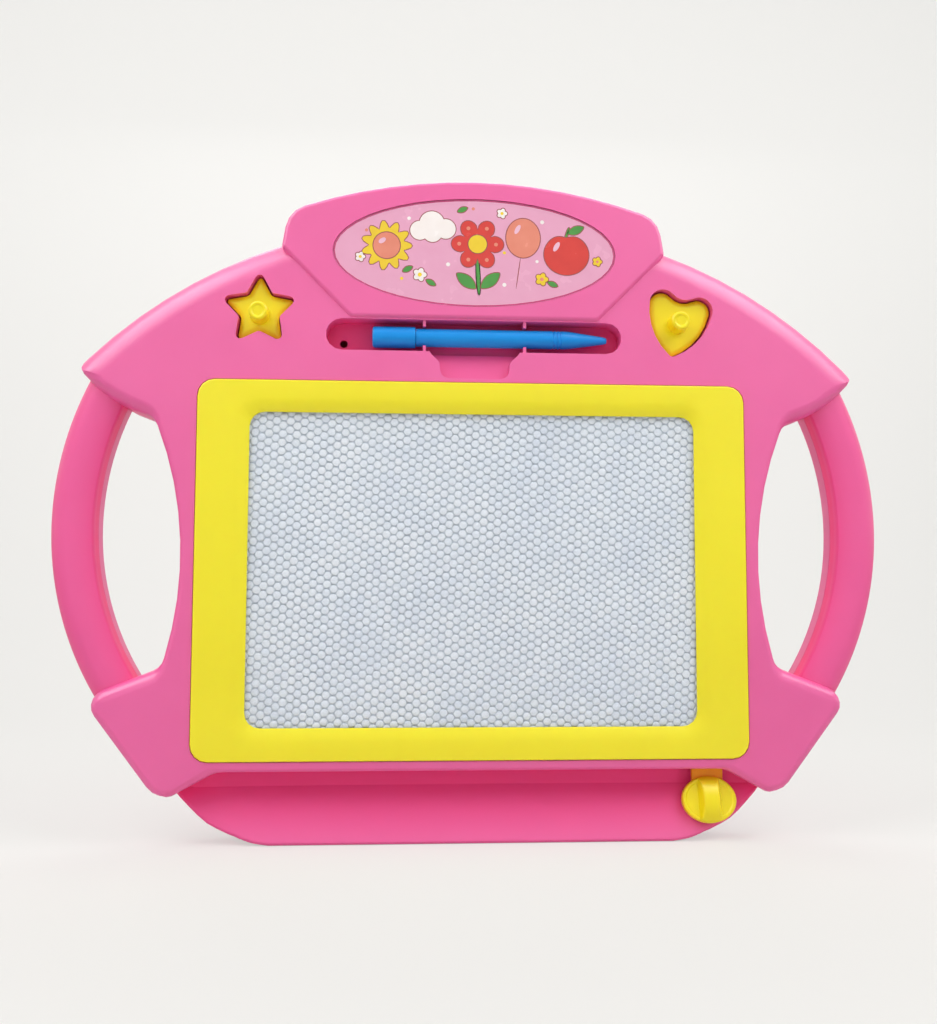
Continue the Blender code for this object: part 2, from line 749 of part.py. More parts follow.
def build_front():
    outer = join(
        plateau(False),
        crest(False),
        lower_body(False),
        front_handles("handles", 0.0, 0.0),
    )
    cavity = join(
        plateau(True),
        crest(True),
        lower_body(True),
        front_handles("handle_cavities", wall, 0.002),
    )
    middle = (0.0, screen_middle)
    seat_floor = seat_depth + wall
    pocket = (screen_half_width + contact_gap, screen_half_height + contact_gap)
    fills = [
        slab(
            "seat",
            rectangle(bezel_half_width + 0.006, bezel_half_height + 0.006, bezel_corner, middle),
            [(-0.01, 0), (seat_floor, 0)],
        ),
        slab(
            "pocket",
            rectangle(pocket[0] + pocket_wall, pocket[1] + pocket_wall, 0.004, middle, 2),
            [(-0.011, 0), (ledge_back, 0)],
        ),
        slab("star", star_outline(pocket_gap + wall), [(-0.012, 0), (stamp_floor + wall, 0)]),
        slab("heart", heart_outline(pocket_gap + wall), [(-0.013, 0), (stamp_floor + wall, 0)]),
        slab(
            "well",
            stadium(well_length / 2 + wall, well_height / 2 + wall, (0.0, well_middle)),
            [(-0.014, 0), (well_floor + wall, 0)],
        ),
        notch_solid(wall),
    ]
    cavity = cut(cavity, *fills)
    pillars = [
        turned("pillar", place, [(-0.02, front_boss_radius), (0.03, front_boss_radius)], 10)
        for place in screw_places()
    ]
    cavity = cut(cavity, gather("pillars", pillars))
    front = cut(outer, cavity)
    label = ellipse(label_half_width, label_half_height, (0.0, label_middle), 44)
    well = stadium(well_length / 2, well_height / 2, (0.0, well_middle))
    cutters = [
        slab(
            "seat",
            rectangle(
                bezel_half_width + contact_gap, bezel_half_height + contact_gap, bezel_corner, middle
            ),
            [(-0.01, 0), (seat_depth, 0)],
        ),
        slab("pocket", rectangle(*pocket, 0.002, middle, 2), [(-0.009, 0), (ledge_front, 0)]),
        slab(
            "window",
            rectangle(pocket[0] - 0.00005, window_half_height, 0.002, middle, 2),
            [(-0.008, 0), (ledge_back + 0.02, 0)],
        ),
        slab("label", label, [(-0.01, 0), (label_recess - crest_proud, 0)]),
        slab("star", star_outline(pocket_gap), [(-0.01, 0), (stamp_floor, 0)]),
        slab("heart", heart_outline(pocket_gap), [(-0.01, 0), (stamp_floor, 0)]),
        slab("well", well, [(-0.01, 0), (well_floor, 0)]),
        notch_solid(0.0),
    ]
    front = cut(front, *cutters)
    slot_low = stem_front - slide_gap / 2
    slot_high = stem_back + slide_gap / 2
    reach = knob_place + stem_width / 2 + slide_gap
    tie = (-well_length / 2 + tie_hole_inset, well_middle - 0.0025)
    holes = [
        box("slot", (-reach, slot_low, ceiling - 0.006), (reach, slot_high, ceiling + wall + 0.0012)),
        turned("tie", tie, [(depth, tie_hole_radius) for depth in (well_floor - 0.002, split_depth)], 12),
    ]
    pilot = screw_radius + 0.0002
    depth_end = split_depth + contact_gap / 2 + wall + contact_gap - screw_length - 0.0005
    holes += [
        turned("pilot", place, [(depth_end, pilot), (split_depth + 0.001, pilot)], 8)
        for place in screw_places()
    ]
    holes += [
        hook_box(
            "hook_slot",
            place,
            hook_width + 0.002,
            hook_thickness + 2 * slide_gap,
            seat_depth - 0.001,
            seat_floor + 0.001,
        )
        for place in hook_places()
    ]
    front = cut(front, gather("holes", holes))
    front = cut(front, box("behind", (-0.4, split_depth - contact_gap / 2, -0.1), (0.4, 0.1, 0.7)))
    clips = []
    for x in (-clip_spacing / 2, clip_spacing / 2):
        for side in (1, -1):
            near = well_middle + side * (barrel_radius + contact_gap)
            far = well_middle + side * (well_height / 2 + 0.001)
            low, high = min(near, far), max(near, far)
            left, right = x - clip_width / 2, x + clip_width / 2
            clips.append(box("clip", (left, clip_drop, low), (right, well_floor + 0.001, high)))
    front = join(front, gather("clips", clips))
    front.name = "front_housing"
    return front


# The finger notch: its floor climbs from the well's side down to its lower edge.
def notch_solid(grow):
    low = bezel_top + notch_land - grow
    high = well_middle
    top, bottom = notch_top_width / 2 + grow, notch_bottom_width / 2 + grow
    right = [
        (0.0, high, 0.0, 0.0, 1, 0.0),
        (top, high, 0.0, 0.0, 1, 0.0),
        (top, well_bottom - 0.0005, 0.003, 0.0, 1, 0.0),
        (bottom + 0.0008, low + 0.0082, 0.003, 0.0, 1, 0.0),
        (bottom, low, 0.0048, 0.0, 1, 0.0),
        (0.0, low, 0.0, 0.0, 1, 0.0),
    ]
    points = symmetric(right, 30.0)[0]
    rise = (points[:, 1] - low) / (high - low)
    floor = notch_shallow + (notch_deep - notch_shallow) * np.minimum(rise * 1.6, 1.6) + grow
    return loft("notch", [ring(points, -0.015), ring(points, floor)])


# The outline of several joined slabs, read from the joined solid's front face as one ordered loop.
def joined_outline(outlines):
    items = [slab("flat", points, [(0.0, 0), (0.01 + 0.001 * i, 0)]) for i, points in enumerate(outlines)]
    solid = join(items[0], *items[1:])
    work = bmesh.new()
    work.from_mesh(solid.data)
    flat = {face for face in work.faces if all(vertex.co.y < 0.0001 for vertex in face.verts)}
    edges = [edge for edge in work.edges if sum(face in flat for face in edge.link_faces) == 1]
    links = {}
    for edge in edges:
        for vertex, other in (edge.verts, reversed(edge.verts)):
            links.setdefault(vertex.index, []).append(other)
    start = edges[0].verts[0]
    loop, current, last = [start], edges[0].verts[1], start
    while current != start:
        loop.append(current)
        following = [other for other in links[current.index] if other != last]
        last, current = current, following[0]
    points = np.array([(vertex.co.x, vertex.co.z) for vertex in loop])
    work.free()
    bpy.data.objects.remove(solid)
    gaps = np.hypot(*(np.roll(points, -1, 0) - points).T)
    return points[gaps > 0.0004]


def build_rear():
    start = split_depth + contact_gap / 2
    outlines = [plateau_outline()[0], crest_outline(), bowl_outline(ceiling + 0.012)]
    points = joined_outline(outlines)

    def shell(inset):
        back = body_depth - inset
        edge = max(rear_edge - inset, 0.0006)
        levels = rounding(0.0, edge, edge, 1 if inset else 3, inset)
        levels = [(back - depth, move) for depth, move in levels] + [(start - 0.003, inset)]
        more = 0.002 if inset else 0.0
        reach = (handle_embed_up + more, handle_embed_down + more)
        section = rear_section(inset, start - 0.002)
        return join(
            slab("back", points, levels),
            gather("handles", [handle("h", section, s, *reach) for s in (1, -1)]),
        )

    outer = shell(0.0)
    cavity = shell(wall)
    boss = screw_head_radius + slide_gap + rear_boss_wall
    fills = [turned("boss", p, [(0.01, boss), (0.04, boss)], 10) for p in screw_places()]
    reach = bezel_half_width - 0.004
    rail_front = carriage_rear + contact_gap

    def rails(end):
        return [
            box(
                "rail",
                (-reach, rail_front, z - rail_thickness / 2),
                (reach, end, z + rail_thickness / 2),
            )
            for z in rail_places()
        ]

    cavity = cut(cavity, gather("fills", fills + rails(0.04)))
    rear = cut(outer, cavity)
    head = screw_head_radius + slide_gap
    hole = screw_radius + 0.0003
    seat = start + wall
    levels = [(start - 0.002, hole), (seat, hole), (seat, head), (body_depth + 0.002, head)]
    holes = [turned("well", place, levels, 10) for place in screw_places()]
    rear = cut(rear, gather("holes", holes), box("trim", (-0.3, -0.05, -0.1), (0.3, start, 0.6)))
    rear = join(rear, gather("rail_tips", rails(start + 0.004)))
    rear.name = "rear_housing"
    return rear


def rail_places():
    high = screen_middle + window_half_height - 0.004
    low = screen_middle - window_half_height + 0.010
    return (low, high)


def build_bezel():
    front = -bezel_proud
    back = bezel_plate - bezel_proud
    lip_half = (screen_half_width - contact_gap, screen_half_height - contact_gap)
    band = (view_width / 2 + bevel_width, view_height / 2 + bevel_width)
    soft = bezel_edge * 0.3
    profile = [
        (bezel_half_width, bezel_half_height, bezel_corner, back),
        (bezel_half_width, bezel_half_height, bezel_corner, front + bezel_edge),
        (bezel_half_width - soft, bezel_half_height - soft, bezel_corner, front + soft),
        (bezel_half_width - bezel_edge, bezel_half_height - bezel_edge, bezel_corner - bezel_edge, front),
        (*band, view_corner + bevel_width * 0.4, front),
        (view_width / 2, view_height / 2, view_corner, front + bevel_drop),
        (view_width / 2, view_height / 2, view_corner, lip_end),
        (*lip_half, 0.002, lip_end),
        (*lip_half, 0.002, back),
    ]
    rings = [ring(rectangle(w, h, c, (0.0, screen_middle)), d) for w, h, c, d in profile]
    bezel = loft("screen_bezel", rings, looped=True)
    tongues, barbs = [], []
    seat_back = seat_depth + wall
    tip = seat_back + contact_gap + hook_tip
    for place in hook_places():
        tongues.append(hook_box("tongue", place, hook_width, hook_thickness, back - 0.0006, tip))
        barbs.append(
            hook_box(
                "barb",
                place,
                hook_width - 0.0004,
                hook_thickness + hook_barb,
                seat_back + contact_gap,
                tip - 0.0002,
                (slide_gap + hook_barb) / 2,
            )
        )
    bezel = join(bezel, gather("tongues", tongues), gather("barbs", barbs))
    bezel.name = "screen_bezel"
    return bezel


def sheet(name, front, thickness):
    outline = rectangle(screen_half_width, screen_half_height, 0.0018, (0.0, screen_middle), 2)
    return slab(name, outline, [(front, 0), (front + thickness, 0)])


def build_label():
    halves = (label_half_width - contact_gap, label_half_height - contact_gap)
    outline = ellipse(*halves, (0.0, label_middle), 44)
    back = label_recess - crest_proud - contact_gap
    return slab("label_sticker", outline, [(back - label_thickness, 0), (back, 0)])


# A round piece along X from (x, radius) stations, round the stylus's axis.
def along_x(name, stations, steps=14):
    angles = np.arange(steps) * 2 * math.pi / steps
    rings = [
        np.stack(
            [
                np.full(steps, x),
                stylus_axis_depth + r * np.cos(angles),
                well_middle + r * np.sin(angles),
            ],
            1,
        )
        for x, r in stations
    ]
    return loft(name, rings)


def build_stylus():
    tip = stylus_shift + stylus_length / 2
    rear = stylus_shift - stylus_length / 2
    seam = rear + cap_length
    shoulder = tip - nose_length
    bore_end = shoulder - 0.006
    stations = [(bore_end, bore_radius), (seam + contact_gap, bore_radius)]
    stations += [(seam + contact_gap, barrel_radius)]
    first = shoulder - 0.0012 - (groove_count - 1) * groove_pitch
    for k in range(groove_count):
        x = first + k * groove_pitch
        stations += [
            (x - 0.0005, barrel_radius),
            (x, barrel_radius - groove_depth),
            (x + 0.0005, barrel_radius),
        ]
    near = nose_length * 0.18
    mid_radius = barrel_radius - (barrel_radius - nose_radius) * 0.10
    stations += [(shoulder + 0.001, barrel_radius), (shoulder + near, mid_radius)]
    stations += [(tip - nose_radius * 0.9, nose_radius)]
    stations += [(tip - nose_radius * 0.3, nose_radius * 0.86), (tip, nose_radius * 0.74)]
    barrel = along_x("stylus_barrel", stations)
    hole = tip_magnet_radius + 0.00012
    bore = [(tip - tip_magnet_length - 0.0004, hole), (tip + 0.002, hole)]
    barrel = cut(barrel, along_x("bore", bore, 12))
    barrel.name = "stylus_barrel"
    along_x(
        "stylus_tip_magnet",
        [(tip - tip_magnet_length - 0.0002, tip_magnet_radius), (tip - 0.0002, tip_magnet_radius)],
        12,
    )
    plug = bore_radius - 0.00015
    along_x(
        "stylus_end_cap",
        [
            (rear, cap_radius - 0.0012),
            (rear + 0.0003, cap_radius - 0.0004),
            (rear + 0.0012, cap_radius),
            (seam - 0.0004, cap_radius),
            (seam, cap_radius - 0.0003),
            (seam, plug),
            (seam + plug_length, plug),
            (seam + plug_length + 0.0005, plug - 0.0005),
        ],
    )


def build_stamp(name, outline, middle, knob_drop):
    back = stamp_face_depth + stamp_thickness
    rings = [
        ring(outline(-stamp_band), stamp_face_depth),
        ring(outline(-0.0004), stamp_face_depth + stamp_dome * 0.8),
        ring(outline(0.0), stamp_face_depth + stamp_dome),
        ring(outline(0.0), back),
    ]
    body = loft(name, rings)
    top = -stamp_knob_proud
    knob = turned(
        "knob",
        middle - np.array([0.0, knob_drop]),
        [
            (top + 0.0005, stamp_knob_radius - 0.0022),
            (top, stamp_knob_radius - 0.0014),
            (top, stamp_knob_radius - stamp_knob_edge),
            (top + stamp_knob_edge, stamp_knob_radius),
            (stamp_face_depth - 0.0006, stamp_knob_radius + 0.0002),
            (stamp_face_depth + 0.003, stamp_knob_radius + 0.0009),
        ],
        16,
    )
    body = join(body, knob)
    recess = back - stamp_magnet_thickness - contact_gap
    inside = outline(-stamp_magnet_rim)
    body = cut(body, slab("recess", inside, [(recess, 0), (back + 0.002, 0)]))
    body.name = name
    plate = outline(-stamp_magnet_rim - 0.0002)
    slab(name + "_magnet", plate, [(recess + contact_gap, 0), (back, 0)])
    return body


# The knob lies parallel to the trough's slope, clear of the trough's back wall at its upper edge.
def build_eraser():
    x = knob_place
    back = trough_depth - slide_gap - knob_half_height * math.sin(tilt)
    centre = np.array([x, back, knob_rise])
    front_way = np.array([0.0, -math.cos(tilt), math.sin(tilt)])
    up_way = np.array([0.0, math.sin(tilt), math.cos(tilt)])
    side_way = np.array([1.0, 0.0, 0.0])

    def placed(name, outline, levels):
        rings = [
            centre + outline_at[:, :1] * side_way + outline_at[:, 1:] * up_way + out * front_way
            for out, outline_at in ((out, outline(grow)) for out, grow in levels)
        ]
        return loft(name, rings)

    def disc(grow):
        return ellipse(knob_half_width + grow, knob_half_height + grow, (0.0, 0.0), 28)

    knob = placed(
        "eraser_knob",
        disc,
        [(0.0, -0.0003), (0.0003, 0.0), (knob_thickness - knob_edge, 0.0), (knob_thickness, -knob_edge)],
    )
    top = knob_thickness + grip_proud

    def bar(grow):
        half = grip_width / 2 + grow
        return rectangle(half, knob_half_height * 1.4, 0.0008, (0.0, 0.0), 1)

    narrow = (grip_top_width - grip_width) / 2
    grip = placed("grip", bar, [(0.001, 0.0), (top - 0.0012, narrow), (top, narrow - 0.0012)])
    round_off = placed(
        "round_off",
        disc,
        [(0.0005, -0.0006), (top - 0.0025, -0.0006), (top - 0.0007, -0.0016), (top + 0.0004, -0.0034)],
    )
    knob = join(knob, keep(grip, round_off))
    shoe_low = screen_middle - window_half_height
    stem_top = shoe_low - ledge_width + stem_lap
    stem_low = knob_rise + 0.004
    stem = box(
        "stem",
        (x - stem_width / 2, stem_front, stem_low),
        (x + stem_width / 2, stem_back, stem_top),
    )
    knob = join(knob, stem)
    screw_height = stem_top - 0.0055
    pilot = carriage_screw_radius + 0.00015
    drill = [(stem_front - 0.002, pilot), (stem_back + 0.002, pilot)]
    knob = cut(knob, turned("pilot", (x, screw_height), drill, 12))
    knob.name = "eraser_knob"
    top_end = screen_middle + window_half_height + shoe_height - 0.001
    low_end = ceiling + wall + slide_gap
    magnet_half = window_half_height - 0.0025
    half = carriage_width / 2
    bar_solid = box(
        "eraser_carriage", (x - half, carriage_front, low_end), (x + half, carriage_rear, top_end)
    )
    groove = box(
        "groove",
        (x - half - 0.01, carriage_front - 0.01, screen_middle - magnet_half - contact_gap),
        (x + half + 0.01, groove_floor, screen_middle + magnet_half + contact_gap),
    )
    notch = box(
        "notch",
        (x - half - 0.011, carriage_front - 0.011, low_end - 0.01),
        (x + half + 0.011, stem_back + contact_gap, stem_top + contact_gap),
    )
    carriage = cut(bar_solid, gather("grooves", [groove]), notch)
    clear = carriage_screw_radius + 0.0003
    carriage = cut(
        carriage,
        turned("hole", (x, screw_height), [(stem_back - 0.002, clear), (carriage_rear + 0.002, clear)], 12),
    )
    carriage.name = "eraser_carriage"
    box(
        "eraser_magnet_strip",
        (x - magnet_width / 2, magnet_front, screen_middle - magnet_half),
        (x + magnet_width / 2, magnet_front + magnet_thickness, screen_middle + magnet_half),
    )
    head = carriage_rear + contact_gap
    turned(
        "carriage_screw",
        (x, screw_height),
        [
            (stem_front + 0.0001, carriage_screw_radius),
            (head, carriage_screw_radius),
            (head, carriage_screw_radius * 2),
            (head + 0.0009, carriage_screw_radius * 2),
            (head + 0.0013, carriage_screw_radius * 1.5),
        ],
        14,
    )


def build_screws():
    seat = split_depth + contact_gap / 2 + wall + contact_gap
    for number, place in enumerate(screw_places(), 1):
        shaft = turned(
            f"rear_screw_{number}",
            place,
            [
                (seat - screw_length, screw_radius * 0.4),
                (seat - screw_length + 0.0012, screw_radius),
                (seat, screw_radius),
                (seat, screw_head_radius),
                (seat + screw_head_height * 0.6, screw_head_radius),
                (seat + screw_head_height, screw_head_radius * 0.75),
            ],
            10,
        )
        slots = [
            box(
                "slot",
                (place[0] - a, seat + screw_head_height * 0.45, place[1] - b),
                (place[0] + a, seat + screw_head_height + 0.001, place[1] + b),
            )
            for a, b in ((screw_head_radius * 0.5, 0.0003), (0.0003, screw_head_radius * 0.5))
        ]
        cross = join(slots[0], slots[1])
        cut(shaft, cross)


colours = {
    "pink": ((0.86, 0.18, 0.42, 1.0), 0.32),
    "yellow": ((0.86, 0.76, 0.03, 1.0), 0.3),
    "blue": ((0.02, 0.2, 0.6, 1.0), 0.3),
    "film": ((0.75, 0.78, 0.8, 1.0), 0.15),
    "cells": ((0.62, 0.66, 0.72, 1.0), 0.5),
    "label": ((0.85, 0.42, 0.55, 1.0), 0.35),
    "magnet": ((0.08, 0.08, 0.08, 1.0), 0.6),
    "steel": ((0.6, 0.6, 0.6, 1.0), 0.3),
    "carriage": ((0.8, 0.8, 0.78, 1.0), 0.5),
}

finishes = {
    "front_housing": "pink",
    "rear_housing": "pink",
    "screen_bezel": "yellow",
    "star_stamp": "yellow",
    "heart_stamp": "yellow",
    "eraser_knob": "yellow",
    "stylus_barrel": "blue",
    "stylus_end_cap": "blue",
    "screen_front_film": "film",
    "screen_back_film": "film",
    "screen_honeycomb": "cells",
    "label_sticker": "label",
    "eraser_carriage": "carriage",
    "carriage_screw": "steel",
}


def finish(item):
    kind = finishes.get(item.name, "steel" if "screw" in item.name else "magnet")
    colour, roughness = colours[kind]
    material = bpy.data.materials.new(item.name + "_" + kind)
    material.use_nodes = True
    shader = material.node_tree.nodes["Principled BSDF"]
    shader.inputs["Base Color"].default_value = colour
    shader.inputs["Roughness"].default_value = roughness
    shader.inputs["Metallic"].default_value = 1.0 if kind == "steel" else 0.0
    item.data.materials.clear()
    item.data.materials.append(material)
    for vertex in item.data.vertices:
        vertex.co.y += depth_shift


for item in list(bpy.data.objects):
    bpy.data.objects.remove(item)
bpy.context.scene.unit_settings.scale_length = 1.0

build_front()
build_rear()
build_bezel()
sheet("screen_front_film", film_front, film_thickness)
sheet("screen_honeycomb", cells_front, cells_thickness)
sheet("screen_back_film", film_back, film_thickness)
build_label()
build_stylus()
build_stamp("star_stamp", star_outline, star_middle, star_knob_drop)
build_stamp("heart_stamp", heart_outline, heart_middle, heart_knob_drop)
build_eraser()
build_screws()

for item in bpy.data.objects:
    finish(item)
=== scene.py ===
import json
import math

import bmesh
import bpy
import numpy as np
from mathutils import Matrix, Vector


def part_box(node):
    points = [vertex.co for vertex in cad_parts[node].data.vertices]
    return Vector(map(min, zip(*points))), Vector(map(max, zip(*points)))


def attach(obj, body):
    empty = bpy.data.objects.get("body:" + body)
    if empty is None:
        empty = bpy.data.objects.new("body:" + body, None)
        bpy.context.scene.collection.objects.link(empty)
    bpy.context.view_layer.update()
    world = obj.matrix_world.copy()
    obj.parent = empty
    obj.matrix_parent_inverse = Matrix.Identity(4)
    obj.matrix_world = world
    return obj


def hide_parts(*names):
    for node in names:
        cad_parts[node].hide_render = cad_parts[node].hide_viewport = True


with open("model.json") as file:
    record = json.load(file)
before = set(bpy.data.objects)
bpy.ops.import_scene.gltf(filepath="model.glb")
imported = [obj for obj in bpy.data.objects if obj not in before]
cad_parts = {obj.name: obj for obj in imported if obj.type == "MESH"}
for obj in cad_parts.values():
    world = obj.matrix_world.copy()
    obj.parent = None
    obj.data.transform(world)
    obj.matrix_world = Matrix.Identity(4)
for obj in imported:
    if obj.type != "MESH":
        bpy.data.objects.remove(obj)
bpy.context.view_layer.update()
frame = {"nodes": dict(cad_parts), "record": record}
print("stage: frame loaded")


# sRGB hex to linear: below 0.04045 divide by 12.92, else ((c + 0.055) / 1.055) to the power 2.4.
def hexColour(code):
    values = [int(code[i : i + 2], 16) / 255 for i in (1, 3, 5)]
    linear = [v / 12.92 if v <= 0.04045 else ((v + 0.055) / 1.055) ** 2.4 for v in values]
    return (*linear, 1.0)


# Sets a node's inputs, by name or as in0, in1 and so on. A link is (node, output name or number).
def setInputs(tree, node, **inputs):
    for key, value in inputs.items():
        socket = node.inputs[int(key[2:]) if key.startswith("in") else key.replace("_", " ")]
        if isinstance(value, tuple) and hasattr(value[0], "outputs"):
            tree.links.new(value[0].outputs[value[1]], socket)
        else:
            socket.default_value = value


def addNode(tree, kind, settings=None, **inputs):
    node = tree.nodes.new(kind)
    for key, value in (settings or {}).items():
        setattr(node, key, value)
    setInputs(tree, node, **inputs)
    return node


def addMath(tree, operation, *values):
    inputs = {f"in{number}": value for number, value in enumerate(values)}
    return addNode(tree, "ShaderNodeMath", {"operation": operation}, **inputs)


# The colour comes out of the mix's output 2.
def addMix(tree, share, first, second):
    return addNode(
        tree, "ShaderNodeMix", {"data_type": "RGBA"}, in0=share, in6=first, in7=second
    )


# Carries a value from one range over to another.
def addRange(tree, value, source, target):
    return addNode(
        tree,
        "ShaderNodeMapRange",
        Value=value,
        in1=source[0],
        in2=source[1],
        in3=target[0],
        in4=target[1],
    )


def addRamp(tree, value, stops):
    node = addNode(tree, "ShaderNodeValToRGB", Fac=value)
    ramp = node.color_ramp
    while len(ramp.elements) > 1:
        ramp.elements.remove(ramp.elements[-1])
    ramp.elements[0].position, ramp.elements[0].color = stops[0]
    for place, colour in stops[1:]:
        ramp.elements.new(place).color = colour
    return node


def addTone(tree, value, *stops):
    return addRamp(tree, value, [(place, hexColour(code)) for place, code in stops])


def addBump(tree, noise, strength, distance):
    return addNode(
        tree, "ShaderNodeBump", Height=(noise, "Fac"), Strength=strength, Distance=distance
    )


# A noise of the given grain, in metres, from Object coordinates.
def grainNoise(tree, place, grain, detail=2.0, roughness=0.6):
    return addNode(
        tree,
        "ShaderNodeTexNoise",
        Vector=(place, "Object"),
        Scale=1 / grain,
        Detail=detail,
        Roughness=roughness,
    )


# Carries a noise, most of which lies between 0.3 and 0.7, over to a range of gloss.
def glossRange(tree, noise, low, high):
    return addRange(tree, (noise, "Fac"), (0.3, 0.7), (low, high))


def newMaterial(name):
    material = bpy.data.materials.new(name)
    material.use_nodes = True
    return material, material.node_tree, material.node_tree.nodes["Principled BSDF"]


# Injection-moulded ABS: a pigmented satin plastic. The eroded mould grain, 0.25 mm, breaks the
# gloss, the melt's flow gives slow tone changes over some 60 mm, and handling leaves patches of
# faint polish. The light that enters the pigment for a millimetre or two softens its edges and
# warms its shadows. Deeper into a recess the colour is painted darker and the shine turned down:
# painted shade for the dimmer light in there.
plastic = {
    "grain": 0.00025,
    "grainStrength": 0.06,
    "grainDepth": 0.0001,
    "wear": 0.018,
    "polish": 0.04,
    "scuff": 0.05,
    "glow": 0.12,
    "glowReach": (0.0025, 0.0010, 0.0012),
    "ior": 1.53,
}


def mouldedAbs(name, light, dark, gloss, flow=0.060, shine=0.3, recess=None):
    material, tree, shader = newMaterial(name)
    place = addNode(tree, "ShaderNodeTexCoord")
    melt = grainNoise(tree, place, flow, 3.0, 0.5)
    tone = addTone(tree, (melt, "Fac"), (0.35, dark), (0.65, light))
    fine = grainNoise(tree, place, plastic["grain"])
    wear = grainNoise(tree, place, plastic["wear"], 4.0)
    rough = glossRange(tree, wear, gloss - plastic["polish"], gloss + plastic["scuff"])
    bump = addBump(tree, fine, plastic["grainStrength"], plastic["grainDepth"])
    setInputs(
        tree,
        shader,
        Base_Color=(tone, "Color"),
        Roughness=(rough, "Result"),
        Normal=(bump, "Normal"),
        IOR=plastic["ior"],
        Specular_IOR_Level=shine,
        Subsurface_Weight=plastic["glow"],
        Subsurface_Radius=plastic["glowReach"],
        Subsurface_Scale=1.0,
    )
    # Painted shade: deeper into a recess the colour is mixed towards a darker tone and the shine is
    # lowered.
    if recess:
        apart = addNode(tree, "ShaderNodeSeparateXYZ", Vector=(place, "Object"))
        depth = addRange(tree, (apart, "Y"), (recess["from"], recess["to"]), (0.0, 1.0))
        shaded = addMix(tree, (depth, "Result"), (tone, "Color"), hexColour(recess["colour"]))
        matt = addRange(tree, (depth, "Result"), (0.0, 1.0), (shine, recess["shine"]))
        setInputs(tree, shader, Base_Color=(shaded, 2), Specular_IOR_Level=(matt, "Result"))
    return material


# Zinc-plated steel: a pale grey metal whose fine tool marks, 0.4 mm, spread its highlights.
def platedSteel(name):
    material, tree, shader = newMaterial(name)
    place = addNode(tree, "ShaderNodeTexCoord")
    marks = grainNoise(tree, place, 0.0004)
    rough = glossRange(tree, marks, 0.28, 0.46)
    bump = addBump(tree, marks, 0.08, 0.00005)
    setInputs(
        tree,
        shader,
        Base_Color=hexColour("#b9bcc0"),
        Metallic=1.0,
        Roughness=(rough, "Result"),
        Normal=(bump, "Normal"),
    )
    return material


# Flexible magnet: ferrite powder in rubber, calendered, so dark grey, matt and faintly speckled.
def ferriteRubber(name):
    material, tree, shader = newMaterial(name)
    place = addNode(tree, "ShaderNodeTexCoord")
    speck = grainNoise(tree, place, 0.0006, 2.0, 0.7)
    tone = addTone(tree, (speck, "Fac"), (0.35, "#232326"), (0.7, "#3c3b3e"))
    rough = glossRange(tree, speck, 0.56, 0.68)
    setInputs(tree, shader, Base_Color=(tone, "Color"), Roughness=(rough, "Result"), IOR=1.52)
    return material


# Clear polyester film with a matt writing face: nearly invisible, it lays a soft sheen over the
# cells. Faint rub marks, 12 mm long and drawn coarser than the real scratches, vary the sheen.
def polyesterFilm(name, veil):
    material, tree, shader = newMaterial(name)
    place = addNode(tree, "ShaderNodeTexCoord")
    rubs = grainNoise(tree, place, 0.012, 5.0, 0.7)
    rough = glossRange(tree, rubs, 0.22, 0.34)
    tone = addTone(tree, (rubs, "Fac"), (0.3, "#dfe5ea"), (0.7, "#eef2f4"))
    setInputs(
        tree,
        shader,
        Base_Color=(tone, "Color"),
        Roughness=(rough, "Result"),
        IOR=1.58,
        Alpha=veil,
    )
    return material


# Cell fluid: white pigment in a thick oil with iron powder at rest in it, so pale blue-grey, uneven
# from cell to cell, and mottled over the sheet where the powder lies nearer the front. The piece's
# attribute "fluid" is each cell's own tone, and "rim" is painted shade on a cell's rim, up to 1.
fluid = {
    "cloud": 0.045,
    "cloudShare": 0.62,
    "ownShare": 0.14,
    "base": 0.13,
    "tones": ((0.30, "#dde7f6"), (0.52, "#e9f1fb"), (0.80, "#f5f9fe")),
    "rimShadeShare": 0.60,
    "rimShadeTone": "#a2afc0",
    "wrinkle": 0.0011,
    "wrinkleStrength": 0.35,
    "wrinkleDepth": 0.0002,
}


def cellFluid(name):
    material, tree, shader = newMaterial(name)
    place = addNode(tree, "ShaderNodeTexCoord")
    own = addNode(tree, "ShaderNodeAttribute", {"attribute_name": "fluid"})
    rim = addNode(tree, "ShaderNodeAttribute", {"attribute_name": "rim"})
    cloud = grainNoise(tree, place, fluid["cloud"], 3.0, 0.55)
    shade = addMath(tree, "MULTIPLY_ADD", (own, "Fac"), fluid["ownShare"], fluid["base"])
    shade = addMath(tree, "MULTIPLY_ADD", (cloud, "Fac"), fluid["cloudShare"], (shade, 0))
    tone = addTone(tree, (shade, 0), *fluid["tones"])
    # Painted shade on the rims: the rim attribute mixes the tone towards a darker blue-grey.
    edge = addMath(tree, "MULTIPLY", (rim, "Fac"), fluid["rimShadeShare"])
    mixed = addMix(tree, (edge, 0), (tone, "Color"), hexColour(fluid["rimShadeTone"]))
    wrinkle = grainNoise(tree, place, fluid["wrinkle"], 2.0, 0.5)
    bump = addBump(tree, wrinkle, fluid["wrinkleStrength"], fluid["wrinkleDepth"])
    setInputs(
        tree, shader, Base_Color=(mixed, 2), Normal=(bump, "Normal"), Roughness=0.38, IOR=1.47
    )
    return material


# Vacuum-formed cell walls, seen on edge between the cells: a darker blue-grey, slightly uneven.
def cellWall(name):
    material, tree, shader = newMaterial(name)
    place = addNode(tree, "ShaderNodeTexCoord")
    cloud = grainNoise(tree, place, 0.030, 3.0, 0.6)
    tone = addTone(tree, (cloud, "Fac"), (0.35, "#bfcad9"), (0.65, "#d2dce8"))
    setInputs(tree, shader, Base_Color=(tone, "Color"), Roughness=0.5, IOR=1.5)
    return material


